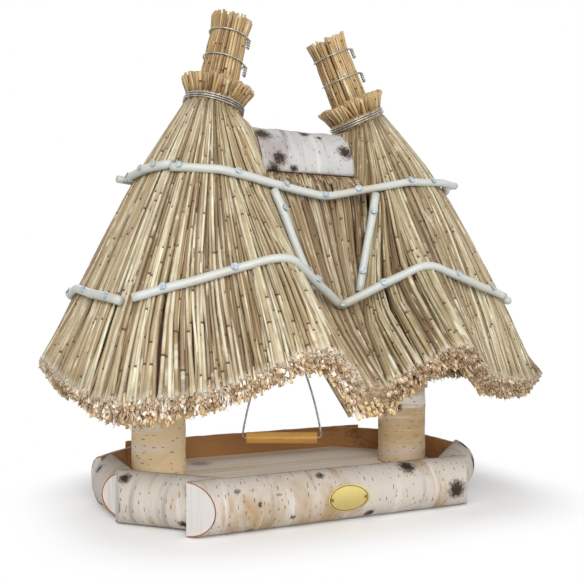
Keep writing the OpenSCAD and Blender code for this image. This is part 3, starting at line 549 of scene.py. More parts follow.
def world_of(side, p):
    """From a tower's axis to the feeder's frame."""
    p = np.asarray(p, float)
    return np.stack([side * (TOWER_X + p[..., 0]) + MIDDLE_X, p[..., 1], p[..., 2]], -1)


def turned(side, v):
    return v * np.array([side, 1, 1])


def eave_stations(side):
    """Stations at even steps of length along the eave, as a lookup table."""
    s = np.linspace(0, 12, 481)
    p = roof(side, s, np.full_like(s, 3.0))
    length = np.concatenate([[0], np.cumsum(np.linalg.norm(np.diff(p, axis=0), axis=1))])
    return s, length / length[-1], length[-1]


EAVE = {side: eave_stations(side) for side in SIDE_NAME}

# Reeds


def stem_pattern(rings, recess, sides=6):
    """One stem, 1 long and 1 in radius, with a hollow cut end at z = 1."""
    bm = bmesh.new()
    bmesh.ops.create_cone(bm, cap_ends=True, segments=sides, radius1=1, radius2=1, depth=1,
                          matrix=Matrix.Translation((0, 0, 0.5)))
    for i in range(1, rings):
        bmesh.ops.bisect_plane(bm, geom=bm.verts[:] + bm.edges[:] + bm.faces[:], plane_co=(0, 0, i / rings),
                               plane_no=(0, 0, 1))
    if recess:
        end = [f for f in bm.faces if f.normal.z > 0.9]
        bmesh.ops.inset_region(bm, faces=end, thickness=0.36, use_even_offset=True)
        deep = bmesh.ops.extrude_discrete_faces(bm, faces=end)["faces"]
        bmesh.ops.translate(bm, verts=deep[0].verts[:], vec=(0, 0, -recess))
        bmesh.ops.remove_doubles(bm, verts=bm.verts, dist=1e-6)
    bm.verts.ensure_lookup_table()
    places = np.array([v.co[:] for v in bm.verts])
    corners = [[v.index for v in f.verts] for f in bm.faces]
    caps = np.array([abs(f.normal.z) > 0.9 for f in bm.faces])
    bm.free()
    # The points of the recess inside the cut end, which get painted dark as the shade in the hollow stem
    hollow_shade = ((np.hypot(places[:, 0], places[:, 1]) < 0.75) & (places[:, 2] < 1 - recess / 2)
            & (places[:, 2] > 0.5)).astype(float) if recess else np.zeros(len(places))
    return places, corners, caps, hollow_shade


LONG_STEM = stem_pattern(8, 0.008)
SHORT_STEM = stem_pattern(2, 0.10)
SPLINTER = stem_pattern(1, 0, 3)


def stems(name, paths, outward, radius, pattern, material, *replaced):
    """Reeds along paths (stem, point, xyz) that end at their cut ends; radius is per stem and point."""
    places, corners, caps, hollow_shade = pattern
    n, k, _ = paths.shape
    tint = rng.uniform(0, 1, n)
    run_dir = unit(np.gradient(paths, axis=1))
    out = unit(outward - (outward * run_dir).sum(-1, keepdims=True) * run_dir)
    aside = np.cross(run_dir, out)
    steps = np.linalg.norm(np.diff(paths, axis=1), axis=2)
    run = np.concatenate([np.cumsum(steps[:, ::-1], axis=1)[:, ::-1], np.zeros((n, 1))], axis=1)
    z = places[:, 2] * (k - 1)
    i = np.clip(np.floor(z).astype(int), 0, k - 2)
    f = (z - i)[None, :, None]

    def at(a):
        a = a if a.ndim == 3 else a[..., None]
        return a[:, i] * (1 - f) + a[:, i + 1] * f

    verts = at(paths) + at(radius) * (places[None, :, :1] * at(out) + places[None, :, 1:2] * at(aside))
    count = len(places)
    loops = np.concatenate([np.array(c) for c in corners])
    sizes = np.array([len(c) for c in corners])
    mesh = bpy.data.meshes.new(name)
    mesh.vertices.add(n * count)
    mesh.vertices.foreach_set("co", verts.reshape(-1).astype(np.float32))
    mesh.loops.add(n * len(loops))
    mesh.loops.foreach_set("vertex_index", (loops[None] + np.arange(n)[:, None] * count).reshape(-1))
    mesh.polygons.add(n * len(sizes))
    starts = np.concatenate([[0], np.cumsum(np.tile(sizes, n))[:-1]])
    mesh.polygons.foreach_set("loop_start", starts)
    mesh.polygons.foreach_set("use_smooth", np.tile(~caps, n))
    for label, values in (("reed_tint", np.repeat(tint, count)), ("reed_run", at(run).reshape(-1)),
                          ("reed_cut", np.tile(hollow_shade, n))):
        mesh.attributes.new(label, "FLOAT", "POINT").data.foreach_set("value", values.astype(np.float32))
    mesh.update(calc_edges=True)
    finish(name, mesh, [material], "house", *replaced, slot="water_reed", smooth=False)


def stem_rows(start, end, n, points):
    """Row numbers along each of n stems, from its start to its end."""
    start, end = (np.broadcast_to(r, n)[:, None] for r in (start, end))
    return start + (end - start) * np.linspace(0, 1, points)[None, :]


def stray(n, wander, points):
    """Each stem's sideways stray, from one end to the other."""
    t = np.linspace(0, 1, points)[None, :]
    return rng.normal(0, wander, (n, 1)) * (1 - t) + rng.normal(0, wander, (n, 1)) * t


def eave_turn(row):
    """0 above the eave and 1 at its cut edge, with a smooth start and end."""
    w = np.clip((row - EAVE_TURN) / TURN_SPAN, 0, 1)[..., None]
    return w * w * (3 - 2 * w)


def roof_paths(side, u, depth, row0, row1, points, wander):
    """Stem paths on the roof: u is the place along the eave, 0 to 1, and depth 0 to 1 through the thatch."""
    s_table, u_table, length = EAVE[side]
    row = stem_rows(row0, row1, len(u), points)
    place = np.clip(u[:, None] + stray(len(u), wander, points) / length, 0.001, 0.999)
    s = np.interp(place, u_table, s_table)
    p = roof(side, s, row)
    out = slope_out(side, s, row)
    r = np.linalg.norm(p[..., :2], axis=-1, keepdims=True)
    hang = CUT_DROP + VALLEY_DROP * np.clip(1 - np.minimum(s, 12 - s) * 0.4, 0, 1)
    if side < 0:
        hang = hang + CORNER_DROP * np.exp(-((np.abs(s - 6) - 2.0) / 1.1) ** 2)
    cut = np.concatenate([-CUT_IN * p[..., :2] / r, -hang[..., None]], -1)
    q, turn = depth[:, None, None], eave_turn(row)
    packed_in = np.clip(0.3 + 0.7 * row, 0, 1)[..., None]
    p = p - q * THATCH_THICK * out * (1 - turn) * packed_in + q * cut * turn
    if side > 0:
        flare = END_FLARE * np.exp(-(((np.abs(s - 6) - 0.8) / 0.9) ** 2))[..., None] * turn
        p = p + np.concatenate([p[..., :2] / r, np.zeros_like(r)], -1) * flare
    return world_of(side, p), turned(side, out)


def stem_radius(n, k, butt, top, spread=0.16):
    """Each stem's radius from its thin top to its butt."""
    own = rng.normal(1, spread, (n, 1)).clip(0.65, 1.4)
    return own * (top + (butt - top) * np.linspace(0, 1, k)[None, :] ** 0.7)


def spread_along(n):
    """n places from 0 to 1, each a little out of line."""
    return (np.arange(n) + rng.uniform(-0.45, 0.45, n) + 0.5) / n


def packed_core(name, bm, thick, patchy):
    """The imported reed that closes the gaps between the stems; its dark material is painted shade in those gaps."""
    bmesh.ops.recalc_face_normals(bm, faces=bm.faces)
    bmesh.ops.solidify(bm, geom=bm.faces[:], thickness=thick)
    bmesh.ops.recalc_face_normals(bm, faces=bm.faces)
    tint = bm.verts.layers.float.new("reed_tint")
    if patchy:
        for v in bm.verts:
            v[tint] = noise.noise(v.co * 0.4)
    finish(name, bm, [packed], "house", slot="water_reed")


def tower(side):
    name = SIDE_NAME[side]
    length = EAVE[side][2]
    own, own_ends = (reed, ends_reed) if side < 0 else (brown_reed, brown_ends)

    def lay(label, place, sizes, pattern, material, *replaced):
        paths, out = roof_paths(side, *place)
        stems(f"thatch_{name}_{label}", paths, out, stem_radius(*sizes), pattern, material, *replaced)

    for layer, (apart, low, high, material) in enumerate([(4.4, 0.06, 0.14, own), (4.0, 0.2, 0.32, own),
                                                          (4.4, 0.38, 0.5, dark_reed)]):
        n = int(length / apart)
        end = 3 + rng.normal(0.0, 0.022, n).clip(-0.06, 0.035)
        lay(f"layer_{layer}", (spread_along(n), rng.uniform(low, high, n), 0.0, end, 11, 4.5),
            (n, 11, 2.0, 0.95, 0.2), LONG_STEM, material, *([f"thatch_{name}"] if layer == 0 else []))
    # Stems that start at the upper rods fill the widening fan
    n = int(length / 4.4)
    lay("lower_reeds", (spread_along(n), rng.uniform(0.08, 0.2, n), rng.uniform(0.7, 1.7, n),
                        3 + rng.normal(0, 0.02, n).clip(-0.06, 0.04), 9, 7.0),
        (n, 9, 2.05, 1.3, 0.2), LONG_STEM, own)
    # The cut band of the eave: rows of short ends through the whole thickness
    start, slivers, fray = (2.84, 1500, 0.8) if side < 0 else (2.74, 2600, 1.3)
    for row, q in enumerate((0.2, 0.3, 0.4, 0.51, 0.62, 0.73, 0.84, 0.94)):
        n = int(length / 3.7)
        lay(f"cut_ends_{row}", (spread_along(n), rng.normal(q, 0.04, n).clip(0.1, 1.02), start,
                                3 + rng.normal(0, 0.05, n).clip(-0.13, 0.075), 4, 3.0),
            (n, 4, 1.5, 1.15, 0.3), SHORT_STEM, stubble if row > 5 else own_ends)
    # Frayed slivers on the cut ends
    n = slivers
    paths, out = roof_paths(side, rng.uniform(0, 1, n), rng.uniform(0.02, 1, n), 2.96, 3.0, 2, 1.0)
    ends, onward = paths[:, 1], unit(paths[:, 1] - paths[:, 0])
    tips = ends + rng.normal(0, fray, (n, 3)) + onward * rng.uniform(0.5, 4, (n, 1))
    stems(f"thatch_{name}_splinters", np.stack([ends - onward * 3, tips], 1), out,
          np.stack([rng.uniform(0.6, 1.3, n), np.full(n, 0.3)], 1), SPLINTER, splinter if side < 0 else brown_ends)
    # The underside's own reeds
    n = int(length / 6)
    lay("underside", (spread_along(n), rng.uniform(0.93, 1.0, n), 1.1, 2.97, 9, 6.0), (n, 9, 2.5, 1.8),
        LONG_STEM, dark_reed)
    bm = bmesh.new()
    bmesh.ops.create_grid(bm, x_segments=72, y_segments=26, size=0.5)
    grid = np.array([v.co[:] for v in bm.verts])
    station, row = (grid[:, 0] + 0.5) * 12, (grid[:, 1] + 0.5) * CORE_ROW
    inward = THATCH_THICK * 0.6 * np.clip(0.35 + 0.65 * row, 0, 1)[:, None]
    place = world_of(side, roof(side, station, row) - slope_out(side, station, row) * inward)
    for v, co in zip(bm.verts, place):
        v.co = co
    packed_core(f"thatch_{name}_core", bm, 5, True)


def round_points(r, angle, height):
    """Points at a radius, an angle and a height."""
    return np.stack(np.broadcast_arrays(r * np.cos(angle), r * np.sin(angle), height), -1)


def cowl(side):
    """Short reeds on a tower's inner side, from the neck to the ridge log."""
    top_angles = np.array([100, 118, 138, 158, 180, 202, 222, 242, 260], float)
    u, r = RIDGE_HALF + GAP - TOWER_X, RIDGE_R - 6
    low_ends = both_halves([[u + 8, UPPER_REACH - 14, UPPER_Z - 8], [u, r + 20, RIDGE_Z - 12],
                            [u, r, RIDGE_Z + 10], [u, r * 0.7, RIDGE_Z + r * 0.7], [u, 0, RIDGE_Z + r]])
    for layer, (n, sink) in enumerate([(130, 1), (120, 4), (100, 8)]):
        place = spread_along(n) * 8
        angle = np.radians(np.interp(place, np.arange(9), top_angles))
        top = leaning(side, round_points(NECK_R - 1 - sink * 0.5, angle, 0))
        low = along(low_ends, (place + rng.normal(0, 0.05, n)).clip(0, 8))
        t = np.linspace(0, 1, 6)[None, :, None]
        outward = round_points(1, angle, 0.4)[:, None]
        paths = top[:, None] * (1 - t) + low[:, None] * t + outward * (np.sin(t * math.pi) * 4 - sink)
        stems(f"thatch_{SIDE_NAME[side]}_cowl_{layer}", world_of(side, paths),
              turned(side, np.broadcast_to(outward, paths.shape)), stem_radius(n, 6, 1.9, 1.0), LONG_STEM,
              reed if side < 0 else old_reed)


def saddle(name):
    """Reeds that hang from under the ridge log and fill the front or back valley between the towers."""
    sign = -1 if name == "front" else 1
    near = TOWER_X - GAP
    mid = np.array([[near - 41, 72, RIDGE_Z - 3], [near - 39, UPPER_REACH - 3, UPPER_Z - 22],
                    [near - 62, 131, LOWER_Z - 7], [near - 78, VALLEY_REACH, EAVE_Z + VALLEY_LIFT - 1]], float)
    cut = np.array([0, -CUT_IN, -(CUT_DROP + VALLEY_DROP)], float)

    def flow(row):
        return sign * SADDLE_FLOW * np.clip(row - 1.4, -0.4, 0.8)

    def downward(row):
        return unit(along(mid, row + 0.01)[..., 1:] - along(mid, row - 0.01)[..., 1:])

    def lay(label, q, start, end, k, wander, sizes, pattern, material, *replaced):
        n = len(q)
        across = spread_along(n) * 2 - 1
        row = stem_rows(start, end, n, k)
        c = along(mid, row)
        x = across[:, None] * c[..., 0] + stray(n, wander, k)
        x = x * (1 + 0.14 * np.clip(1.6 - row, 0, 1)) - flow(row)
        down = downward(row)
        out = np.stack([np.zeros_like(x), -down[..., 1], down[..., 0]], -1)
        turn, d = eave_turn(row), q[:, None, None]
        p = np.stack([x, c[..., 1], c[..., 2]], -1) - d * THATCH_THICK * out * (1 - turn) + d * cut * turn
        flip = np.array([1, sign, 1])
        stems(f"saddle_{name}_{label}", p * flip + np.array([MIDDLE_X, 0, 0]), out * flip,
              stem_radius(n, k, *sizes), pattern, material, *replaced)

    for layer, (n, low, high) in enumerate([(58, 0.06, 0.16), (58, 0.2, 0.34), (50, 0.38, 0.5)]):
        lay(f"layer_{layer}", rng.uniform(low, high, n), rng.uniform(-0.02, 0.1, n),
            3 + rng.normal(0, 0.02, n).clip(-0.05, 0.035), 11, 4.0, (1.95, 1.6), LONG_STEM, old_reed,
            *([f"thatch_saddle_{name}"] if layer == 0 else []))
    # Short tips close the top under the ridge log
    n = 90
    lay("short_tips", rng.uniform(0, 0.1, n), rng.uniform(0, 0.08, n), rng.uniform(0.3, 0.8, n), 4, 1.2,
        (1.4, 0.8), SHORT_STEM, old_reed)
    for row, q in enumerate((0.24, 0.36, 0.48, 0.60, 0.72, 0.84, 0.95)):
        n = 13
        lay(f"cut_ends_{row}", rng.normal(q, 0.03, n), 2.72, 3 + rng.normal(0, 0.03, n), 4, 2.0, (2.0, 1.7),
            SHORT_STEM, stubble)
    # The core lies 17 mm under the stems and is a tenth narrower
    bm = bmesh.new()
    bmesh.ops.create_grid(bm, x_segments=8, y_segments=24, size=0.5)
    for v in bm.verts:
        row = np.array((v.co.y + 0.5) * CORE_ROW)
        c, down = along(mid, row), downward(row)
        v.co = (v.co.x * 1.8 * c[0] - flow(row) + MIDDLE_X, sign * (c[1] + down[1] * 17), c[2] - down[0] * 17)
    packed_core(f"saddle_{name}_core", bm, 4, False)


def on_neck(side, p):
    """From a neck's own leaning frame to the feeder's."""
    return world_of(side, leaning(side, p))


def neck_stems(side, name, parts, pattern, *replaced):
    """Golden reeds in a neck's own frame, in parts of radii, angles, heights, upward tilt and sizes."""
    paths, outs, sizes = (np.concatenate(x) for x in zip(*(
        (round_points(r, angle, height), round_points(np.ones_like(height), angle, tilt), size)
        for r, angle, height, tilt, size in parts)))
    base = on_neck(side, paths)
    stems(name, base, on_neck(side, paths + outs) - base, sizes, pattern, golden_reed, *replaced)


def ring_angles(n, loose):
    """n angles round a ring, each up to a share of its own step out of line."""
    return (np.arange(n) + rng.uniform(-loose, loose, n)) / n * 2 * math.pi


def chimney_radius(z):
    """Pressed in a little where each wire loop sits, and spread at the top."""
    r = CHIMNEY_R
    return np.interp(z / CHIMNEY_LENGTH, [0, 0.38, 0.54, 0.66, 0.82, 1], [r, r, r - 0.7, r - 0.2, r - 1.6, r + 2])


def chimney(side):
    parts, points = [], 9
    t = np.linspace(0, 1, points)[None, :]
    for ring, inset in enumerate((2.1, 5.4, 8.8, 12.2, 15.8, 19.4, 22.8)):
        # Only the two outer rings run down to the wire
        outer = ring < 2
        n = max(4, int(2 * math.pi * (CHIMNEY_R - inset) / (3.5 if ring else 2.9)))
        angle = ring_angles(n, 0.3)
        top = CHIMNEY_LENGTH + rng.normal(0, 1.6, n).clip(-4, 2.5) - (0 if outer else 3)
        low = 0.08 * CHIMNEY_LENGTH + NECK_BAND if outer else 0.8 * CHIMNEY_LENGTH
        height = low + (top[:, None] - low) * t
        r = chimney_radius(height) - inset + rng.normal(0, 0.25, (n, 1))
        angle = angle[:, None] + rng.normal(0, 0.03, (n, 1)) * t
        parts.append((r, angle, height, 0, rng.normal(1.6, 0.22, (n, 1)) * np.ones((1, points))))
    name = f"chimney_{SIDE_NAME[side]}"
    neck_stems(side, f"{name}_reeds", parts, LONG_STEM, name)


def ruff(side):
    """The reeds' own tops, bent outwards above the binding wire and trimmed."""
    low, h = NECK_BAND + GAP, RUFF_HEIGHT
    t = np.linspace(0, 1, 4)[None, :]
    parts = []
    # Rings of n stems, from r0 and h0 at the wire to r1 and h1 at their tips
    for n, r0, r1, h0, h1 in [(78, NECK_R - 2, RUFF_R - 2, 0, h), (74, NECK_R - 4, RUFF_R - 5, 1, h + 1),
                              (66, NECK_R - 7, RUFF_R - 9, 2, h), (56, CHIMNEY_R + 3, CHIMNEY_R + 7, 3, h - 3)]:
        angle = ring_angles(n, 0.4)[:, None]
        angle = angle + rng.normal(0, 0.06, (n, 1)) * t
        r = r0 + (r1 - r0) * t**1.3 + rng.normal(0, 0.7, (n, 1)) * t
        height = low + h0 + (h1 - h0 + rng.normal(0, 1.2, (n, 1)).clip(-3, 2)) * t
        parts.append((r, angle, height, -0.6, rng.normal(1.75, 0.25, (n, 1)).clip(1, 2.3) * (0.85 + 0.25 * t)))
    name = f"ruff_{SIDE_NAME[side]}"
    neck_stems(side, f"{name}_reeds", parts, SHORT_STEM, name)
    # The bound neck under the wire
    n = 92
    height, inset = np.array([[-6.0, 3.0, NECK_BAND + 2]]), np.array([[3.4, 1.9, 1.9]])
    bound = (NECK_R - inset, ring_angles(n, 0.3)[:, None], height, 0, np.full((n, 3), 1.6))
    neck_stems(side, f"neck_{SIDE_NAME[side]}_reeds", [bound], SHORT_STEM)


def wires(side):
    name = SIDE_NAME[side]
    turn = np.linspace(0, NECK_TURNS, NECK_TURNS * 48 + 1)
    winding = round_points(NECK_R + WIRE_D / 2 + GAP, 2 * math.pi * turn, WIRE_D / 2 + WIRE_PITCH * turn)
    tube(f"neck_wire_{name}_winding", [on_neck(side, winding)], WIRE_D / 2, wire_steel, "house",
         f"neck_wire_{name}")
    loops = []
    for place, turned_by, draw in [(0.54, 25, 0.7), (0.82, 40, 1.6)]:
        r, z, a = CHIMNEY_R - draw + WIRE_D / 2 + 0.4, place * CHIMNEY_LENGTH, 8
        # The two ends twist round each other for one turn on their way down
        tail, twist = r + 3.1, np.linspace(0, 1, 33)
        swing, lean_out = 1.5 * np.cos(4 * math.pi * twist), 1.5 * np.sin(4 * math.pi * twist)
        one, two = (np.stack([tail + w * lean_out, w * swing, z - 12 * twist - 1.5], -1) for w in (1, -1))
        ring = round_points(r, np.radians(np.linspace(a, 360 - a, 73)), z)
        line = np.concatenate([one[::-1], ring, two])
        g = math.radians(180 + turned_by if side < 0 else -turned_by)
        spin = np.array([[math.cos(g), -math.sin(g), 0], [math.sin(g), math.cos(g), 0], [0, 0, 1]])
        loops.append(on_neck(side, line @ spin.T))
    tube(f"chimney_wires_{name}_loops", loops, WIRE_D / 2, wire_steel, "house", f"chimney_wires_{name}")


for one_side in SIDE_NAME:
    for build in (tower, cowl, ruff, chimney, wires):
        build(one_side)
saddle("front")
saddle("back")

# Willow rods

# How far a rod's middle lies off the reeds, and the outward and upward shares of that
REST = ROD_D / 2 + 0.4
OUTWARD, UPWARD = 0.86, 0.5
# A rod's line has points at least 9 mm apart, and natural waves up to 0.7 mm high
POINT_STEP, WAVE, WAVES_PER_MM = 9, 0.7, 0.028


def on_roof(side, station, row, off):
    p = roof(side, np.array(float(station)), np.array(float(row)))
    grow = 1 + off * OUTWARD / math.hypot(p[0], p[1])
    return world_of(side, [p[0] * grow, p[1] * grow, p[2] + off * UPWARD])


def valley_point(row, off):
    p = roof(-1, np.array(12.0), np.array(float(row)))
    return np.array([MIDDLE_X, p[1] - off * OUTWARD, p[2] + off * UPWARD])


def bent(route, share, steps=7):
    """A rod's line with short bends at its corners and slight natural waves between them."""
    p = [np.asarray(q, float) for q in route]
    line = [p[0]]
    for before, corner, after in zip(p, p[1:], p[2:]):
        a, b = corner + (before - corner) * share, corner + (after - corner) * share
        line += [a * (1 - t) ** 2 + corner * 2 * t * (1 - t) + b * t * t for t in np.linspace(0, 1, steps)]
    line.append(p[-1])
    fine = [line[0]]
    for a, b in zip(line, line[1:]):
        cuts = max(1, int(np.linalg.norm(b - a) / POINT_STEP))
        fine += [a + (b - a) * (j + 1) / cuts for j in range(cuts)]
    return [q + np.array(noise.noise_vector(Vector(q) * WAVES_PER_MM)[:]) * WAVE for q in fine]


def back_of(route):
    return [np.array([q[0], -q[1], q[2]]) for q in route]


def upper_long(stub):
    full = 0 if stub < 0 else 7.5
    return [on_roof(-stub, 7.9, 1, REST), on_roof(-stub, 9.3, 1, REST), valley_point(1, REST),
            on_roof(stub, 9.6, 1, REST), on_roof(stub, 8.2, 1, REST + 1),
            world_of(stub, [UPPER_REACH + 5 + full, -60, UPPER_Z + 11])]


def lower_side(side):
    row, end = (1.965, 8) if side < 0 else (2.03, 8.2)
    return [valley_point(2, REST), on_roof(side, 10, row, REST), on_roof(side, end, 1.98, REST)]


def valley_side(side):
    return [on_roof(side, 11.8, 0.96, REST), on_roof(side, 12, 1.85, REST)]


def rod(name, routes, share=0.07):
    """A peeled rod, a little thicker at its butt end, bent over a share of its stretches."""
    lines = [bent(r, share) for r in routes]
    tube(f"{name}_peeled", lines, ROD_D / 2 - 0.1, willow, "house", name, "peeled_willow", 14,
         lambda t: 0.97 + 0.05 * math.sin(9 * t) * (1 - t) - 0.04 * t)


rod("upper_rod_front", [upper_long(1)])
rod("upper_rod_back", [back_of(upper_long(-1))])
for one_side, word in SIDE_NAME.items():
    row = 0.965 if one_side < 0 else 1
    rod(f"upper_rod_{word}", [[on_roof(one_side, s, row, REST) for s in (7.9, 7, 6, 5, 4.1)]])
    rod(f"lower_rod_{word}", [[on_roof(one_side, s, 2, REST) for s in (7.8, 7, 6, 5, 4.2)]])
    rod(f"lower_rod_front_{word}", [lower_side(one_side)], 0.15)
    rod(f"lower_rod_back_{word}", [back_of(lower_side(one_side))], 0.15)
rod("valley_rods_front", [valley_side(-1), valley_side(1)])
rod("valley_rods_back", [back_of(valley_side(-1)), back_of(valley_side(1))])

# Birch logs

BARK, CUT_END, SAWN, EDGE = range(4)


def roughen(bm, centre_z, size, span, keep_flat):
    """Moves bark points in and out by a few tenths of a millimetre, as grown bark is."""
    for v in bm.verts:
        away = Vector((0, v.co.y, v.co.z - centre_z))
        if keep_flat(v.co) or away.length < 1:
            continue
        wave = noise.noise(v.co / span + Vector((7.3, 1.7, 3.1))) + 0.5 * noise.noise(v.co / span * 3.1)
        v.co += away.normalized() * size * wave


def log_piece(name, length, radius, centre_z, plan_cuts, place, scars, materials, replaced, seed, rough=0.55,
              flat_cut=True, edge=1.5):
    """A log along X in its own frame, sawn flat at y = 0 or z = 0 and cut at its ends by planes.
    scars are (along, angle in degrees, radius) in the log's frame."""
    bm = bmesh.new()
    turn = Matrix.Rotation(math.radians(90), 4, "Y")
    bmesh.ops.create_cone(bm, cap_ends=True, segments=96 if radius > 40 else 72, radius1=radius, radius2=radius,
                          depth=length, matrix=Matrix.Translation((0, 0, centre_z)) @ turn)

    def cut(co, no, **rest):
        return bmesh.ops.bisect_plane(bm, geom=bm.verts[:] + bm.edges[:] + bm.faces[:], plane_co=co, plane_no=no,
                                      **rest)["geom_cut"]

    def on_bark(co):
        return abs(math.hypot(co.y, co.z - centre_z) - radius) < 0.05

    # Rings 4 mm apart give the bark points to move
    for x in np.arange(-length / 2 + 4, length / 2, 4):
        cut((x, 0, 0), (1, 0, 0))
    for co, no in plan_cuts:
        edges = [g for g in cut(co, no, clear_outer=True) if isinstance(g, bmesh.types.BMEdge)]
        bmesh.ops.contextual_create(bm, geom=edges)
    bmesh.ops.remove_doubles(bm, verts=bm.verts, dist=0.001)
    # The bark shows as a thin brown line round each sawn end
    bm.normal_update()
    sawn = Vector((0, -1, 0)) if flat_cut else Vector((0, 0, -1))
    for f in [f for f in bm.faces if edge and abs(f.normal.x) > 0.5]:
        for g in bmesh.ops.inset_region(bm, faces=[f], thickness=edge, use_even_offset=True)["faces"]:
            rim = [v.co for v in g.verts if on_bark(v.co)]
            round_side = len(rim) == 2 and (rim[0] - rim[1]).length < 0.3 * radius
            g.material_index = EDGE if round_side else CUT_END
        f.material_index = CUT_END
    bm.normal_update()
    for f in bm.faces:
        if f.material_index != BARK:
            continue
        if abs(f.normal.x) > 0.5:
            f.material_index = CUT_END
        elif plan_cuts and f.normal.dot(sawn) > 0.95:
            f.material_index = SAWN
    uv = bm.loops.layers.uv.new("bark")
    scar = bm.verts.layers.float.new("scar")
    for f in bm.faces:
        for loop in f.loops:
            co = loop.vert.co
            loop[uv].uv = (co.x / 100 + seed * 3.7, math.atan2(co.z - centre_z, co.y) * radius / 100 + seed * 1.9)
    for v in bm.verts:
        a = math.degrees(math.atan2(v.co.z - centre_z, v.co.y))
        v[scar] = max([0] + [1 - math.hypot(v.co.x - x, math.radians((a - angle + 180) % 360 - 180) * radius) / size
                             for x, angle, size in scars])
    roughen(bm, centre_z, rough, 17,
            (lambda co: co.y < 0.05 or not on_bark(co)) if flat_cut else (lambda co: co.z < 0.05))
    bmesh.ops.transform(bm, matrix=place, verts=bm.verts)
    if place.determinant() < 0:
        bmesh.ops.reverse_faces(bm, faces=bm.faces)
    mesh = finish(name, bm, materials, "house", replaced, slot="birch_bark", smooth=False).data
    mesh.polygons.foreach_set("use_smooth", [p.material_index == BARK for p in mesh.polygons])


wood = [birch, end_grain, sawn_long, bark_edge]
flat_back = ((0, 0, 0), (0, -1, 0))
base_place = Matrix.Translation((MIDDLE_X, 0, 0))


def spun(degrees):
    return Matrix.Rotation(math.radians(degrees), 4, "Z")


def end_plane(x, lean_in, sign):
    """A vertical plane through (x, 0) that leans inwards to x - lean_in at the bark."""
    d = Vector((-sign * lean_in, SLAB_THICK, 0)).normalized()
    return ((sign * x, 0, 0), (sign * d.y, -sign * d.x, 0) if sign > 0 else (-d.y, d.x, 0))


def rim_log(word, length, ends, place, scars, seed):
    """A half log of the tray's rim; ends are the half length and lean of its two ends."""
    log_piece(f"rim_{word}_log", length, SLAB_THICK, SLAB_HEIGHT / 2,
              [flat_back] + [end_plane(*end, sign) for end, sign in zip(ends, (1, -1))],
              base_place @ place, scars, wood, f"rim_{word}", seed)


long_half = TRAY_HALF_X - CORNER_CUT
end_half = TRAY_HALF_Y - CORNER_CUT
LONG = (long_half + LONG_OVERHANG, END_CUT, 30, TRAY_HALF_Y)
SHORT = (end_half - GAP, SLAB_THICK, 20, TRAY_HALF_X)
for seed, (word, angle, (half, lean, spare, reach), scars) in enumerate((
        ("front", 180, LONG, [(-80, 62, 17), (-138, -8, 19), (-28, -50, 11), (110, -62, 7), (104, 8, 5), (82, 24, 4),
                              (126, 40, 5), (66, -30, 5), (30, 60, 8)]),
        ("back", 0, LONG, [(60, 40, 12), (-90, 10, 16), (120, -20, 9)]),
        ("left", 90, SHORT, [(20, 40, 9)]),
        ("right", -90, SHORT, [(-10, 20, 12)])), 1):
    rim_log(word, 2 * half + spare, [(half, lean)] * 2, spun(angle) @ Matrix.Translation((0, reach, 0)), scars, seed)
diagonal = CORNER_CUT * math.sqrt(2)
butt, free = diagonal / 2 - GAP, diagonal / 2 + DIAGONAL_OVERHANG
corner = Matrix.Translation((-(long_half + TRAY_HALF_X) / 2, (TRAY_HALF_Y + end_half) / 2, 0)) @ spun(45)
for mx, my, word, scars in ((0, 1, "front_left", [(17, -40, 9), (-62, -10, 13), (-55, 55, 12), (-66, 30, 10)]),
                            (0, 0, "back_left", [(10, 20, 9)]),
                            (1, 0, "back_right", [(0, 30, 14)]),
                            (1, 1, "front_right", [(-50, 10, 16), (20, 50, 12), (-60, 60, 12)])):
    flip = Matrix.Diagonal((-1 if mx else 1, -1 if my else 1, 1, 1))
    rim_log(word, 2 * free + 20, [(butt, SLAB_THICK), (free, END_CUT)], flip @ corner, scars, 5 + mx + 2 * my)

log_piece("ridge_log_bark", 2 * RIDGE_HALF, RIDGE_R, 0, [((0, 0, 0), (0, 0, -1))],
          Matrix.Translation((MIDDLE_X, 0, RIDGE_Z)),
          [(-52, 130, 20), (-38, 165, 15), (-46, 178, 14), (8, 118, 12), (24, 128, 7), (52, 150, 17), (-20, 176, 9)],
          [old_birch, end_grain, sawn_long, bark_edge], "ridge_log", 9.5, rough=1.3, flat_cut=False, edge=2.5)


def post(side, bark, seed, scars):
    height = POST_TOP - FLOOR_TOP
    # The bark map's seam turns to the back
    upright = Matrix.Rotation(math.radians(-90), 4, "Y") @ Matrix.Rotation(math.pi, 4, "X")
    stand = Matrix.Translation((side * POST_X + MIDDLE_X, 0, FLOOR_TOP + height / 2)) @ upright
    log_piece(f"post_{SIDE_NAME[side]}_bark", height, POST_R, 0, [], stand, scars,
              [bark, end_grain, end_grain, bark_edge], f"post_{SIDE_NAME[side]}", seed, rough=0.7, flat_cut=False,
              edge=0)


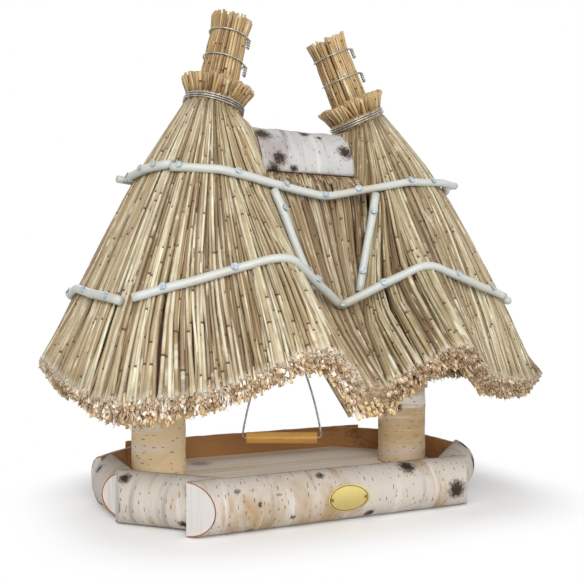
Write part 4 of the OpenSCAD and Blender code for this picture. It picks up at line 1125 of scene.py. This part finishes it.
post(-1, post_birch, 11.3, [(-27, -75, 15), (-30, -52, 10)])
post(1, shaded_copy_birch, 13.1, [(-24, -60, 13), (-14, -80, 9), (-30, -40, 8)])

# Swing

GRIP_Z, PIN_HALF, BEND_R, LEG_TILT, APEX_TILT, APEX_R = 69, 44.5, 4, 9, 27, 10
SWING_X, SWING_TURN, SWING_WIRE_D = -9, -25, 2.4


def arc(x, z, r, start, stop, steps):
    a = np.radians(np.linspace(start, stop, steps))
    return [np.array([x + r * math.cos(w), 0, z + r * math.sin(w)]) for w in a]


leg, tip = math.radians(LEG_TILT), math.radians(APEX_TILT)
leg_start, leg_z = PIN_HALF + BEND_R * math.cos(leg), BEND_R * (1 + math.sin(leg))
leg_r = (leg_start - APEX_R * math.cos(tip)) / (math.cos(leg) - math.cos(tip))
apex_z = leg_z + leg_r * (math.sin(tip) - math.sin(leg)) + APEX_R * (1 - math.sin(tip))
half_bail = ([np.array([0.0, 0, 0])] + arc(PIN_HALF, BEND_R, BEND_R, -90, LEG_TILT, 12)
             + arc(leg_start - leg_r * math.cos(leg), leg_z - leg_r * math.sin(leg), leg_r, LEG_TILT + 1, APEX_TILT, 24)
             + arc(0, apex_z - APEX_R, APEX_R, APEX_TILT + 6, 90, 12))
bail = half_bail + [np.array([-q[0], 0, q[2]]) for q in half_bail[-2::-1]]
swing_place = Matrix.Translation((SWING_X + MIDDLE_X, 0, GRIP_Z)) @ spun(SWING_TURN)
tube("swing_bail", [[swing_place @ Vector(q) for q in bail]], SWING_WIRE_D / 2, wire_steel, "bail", "swing_wire",
     sides=16)

# Finishes on the kept pieces

FINISHES = (
    (board, "floor_board"),
    (inner_pine, "bearer_left bearer_right arm_left arm_right cross_beam stake_left stake_right ridge_beam"),
    (zinc, "bearer_screws rim_nails post_screws timber_screws ridge_screws rod_nails_front rod_nails_back "
           "rod_nails_ends"),
    (wire_steel, "swing_hook"),
    (brass, "oval_plate"),
    (pin_brass, "plate_pins"),
    (beech, "swing_grip"),
    (willow, "inner_rods_upper inner_rods_lower"))
for material, names in FINISHES:
    for name in names.split():
        nodes[name].data.materials.clear()
        nodes[name].data.materials.append(material)
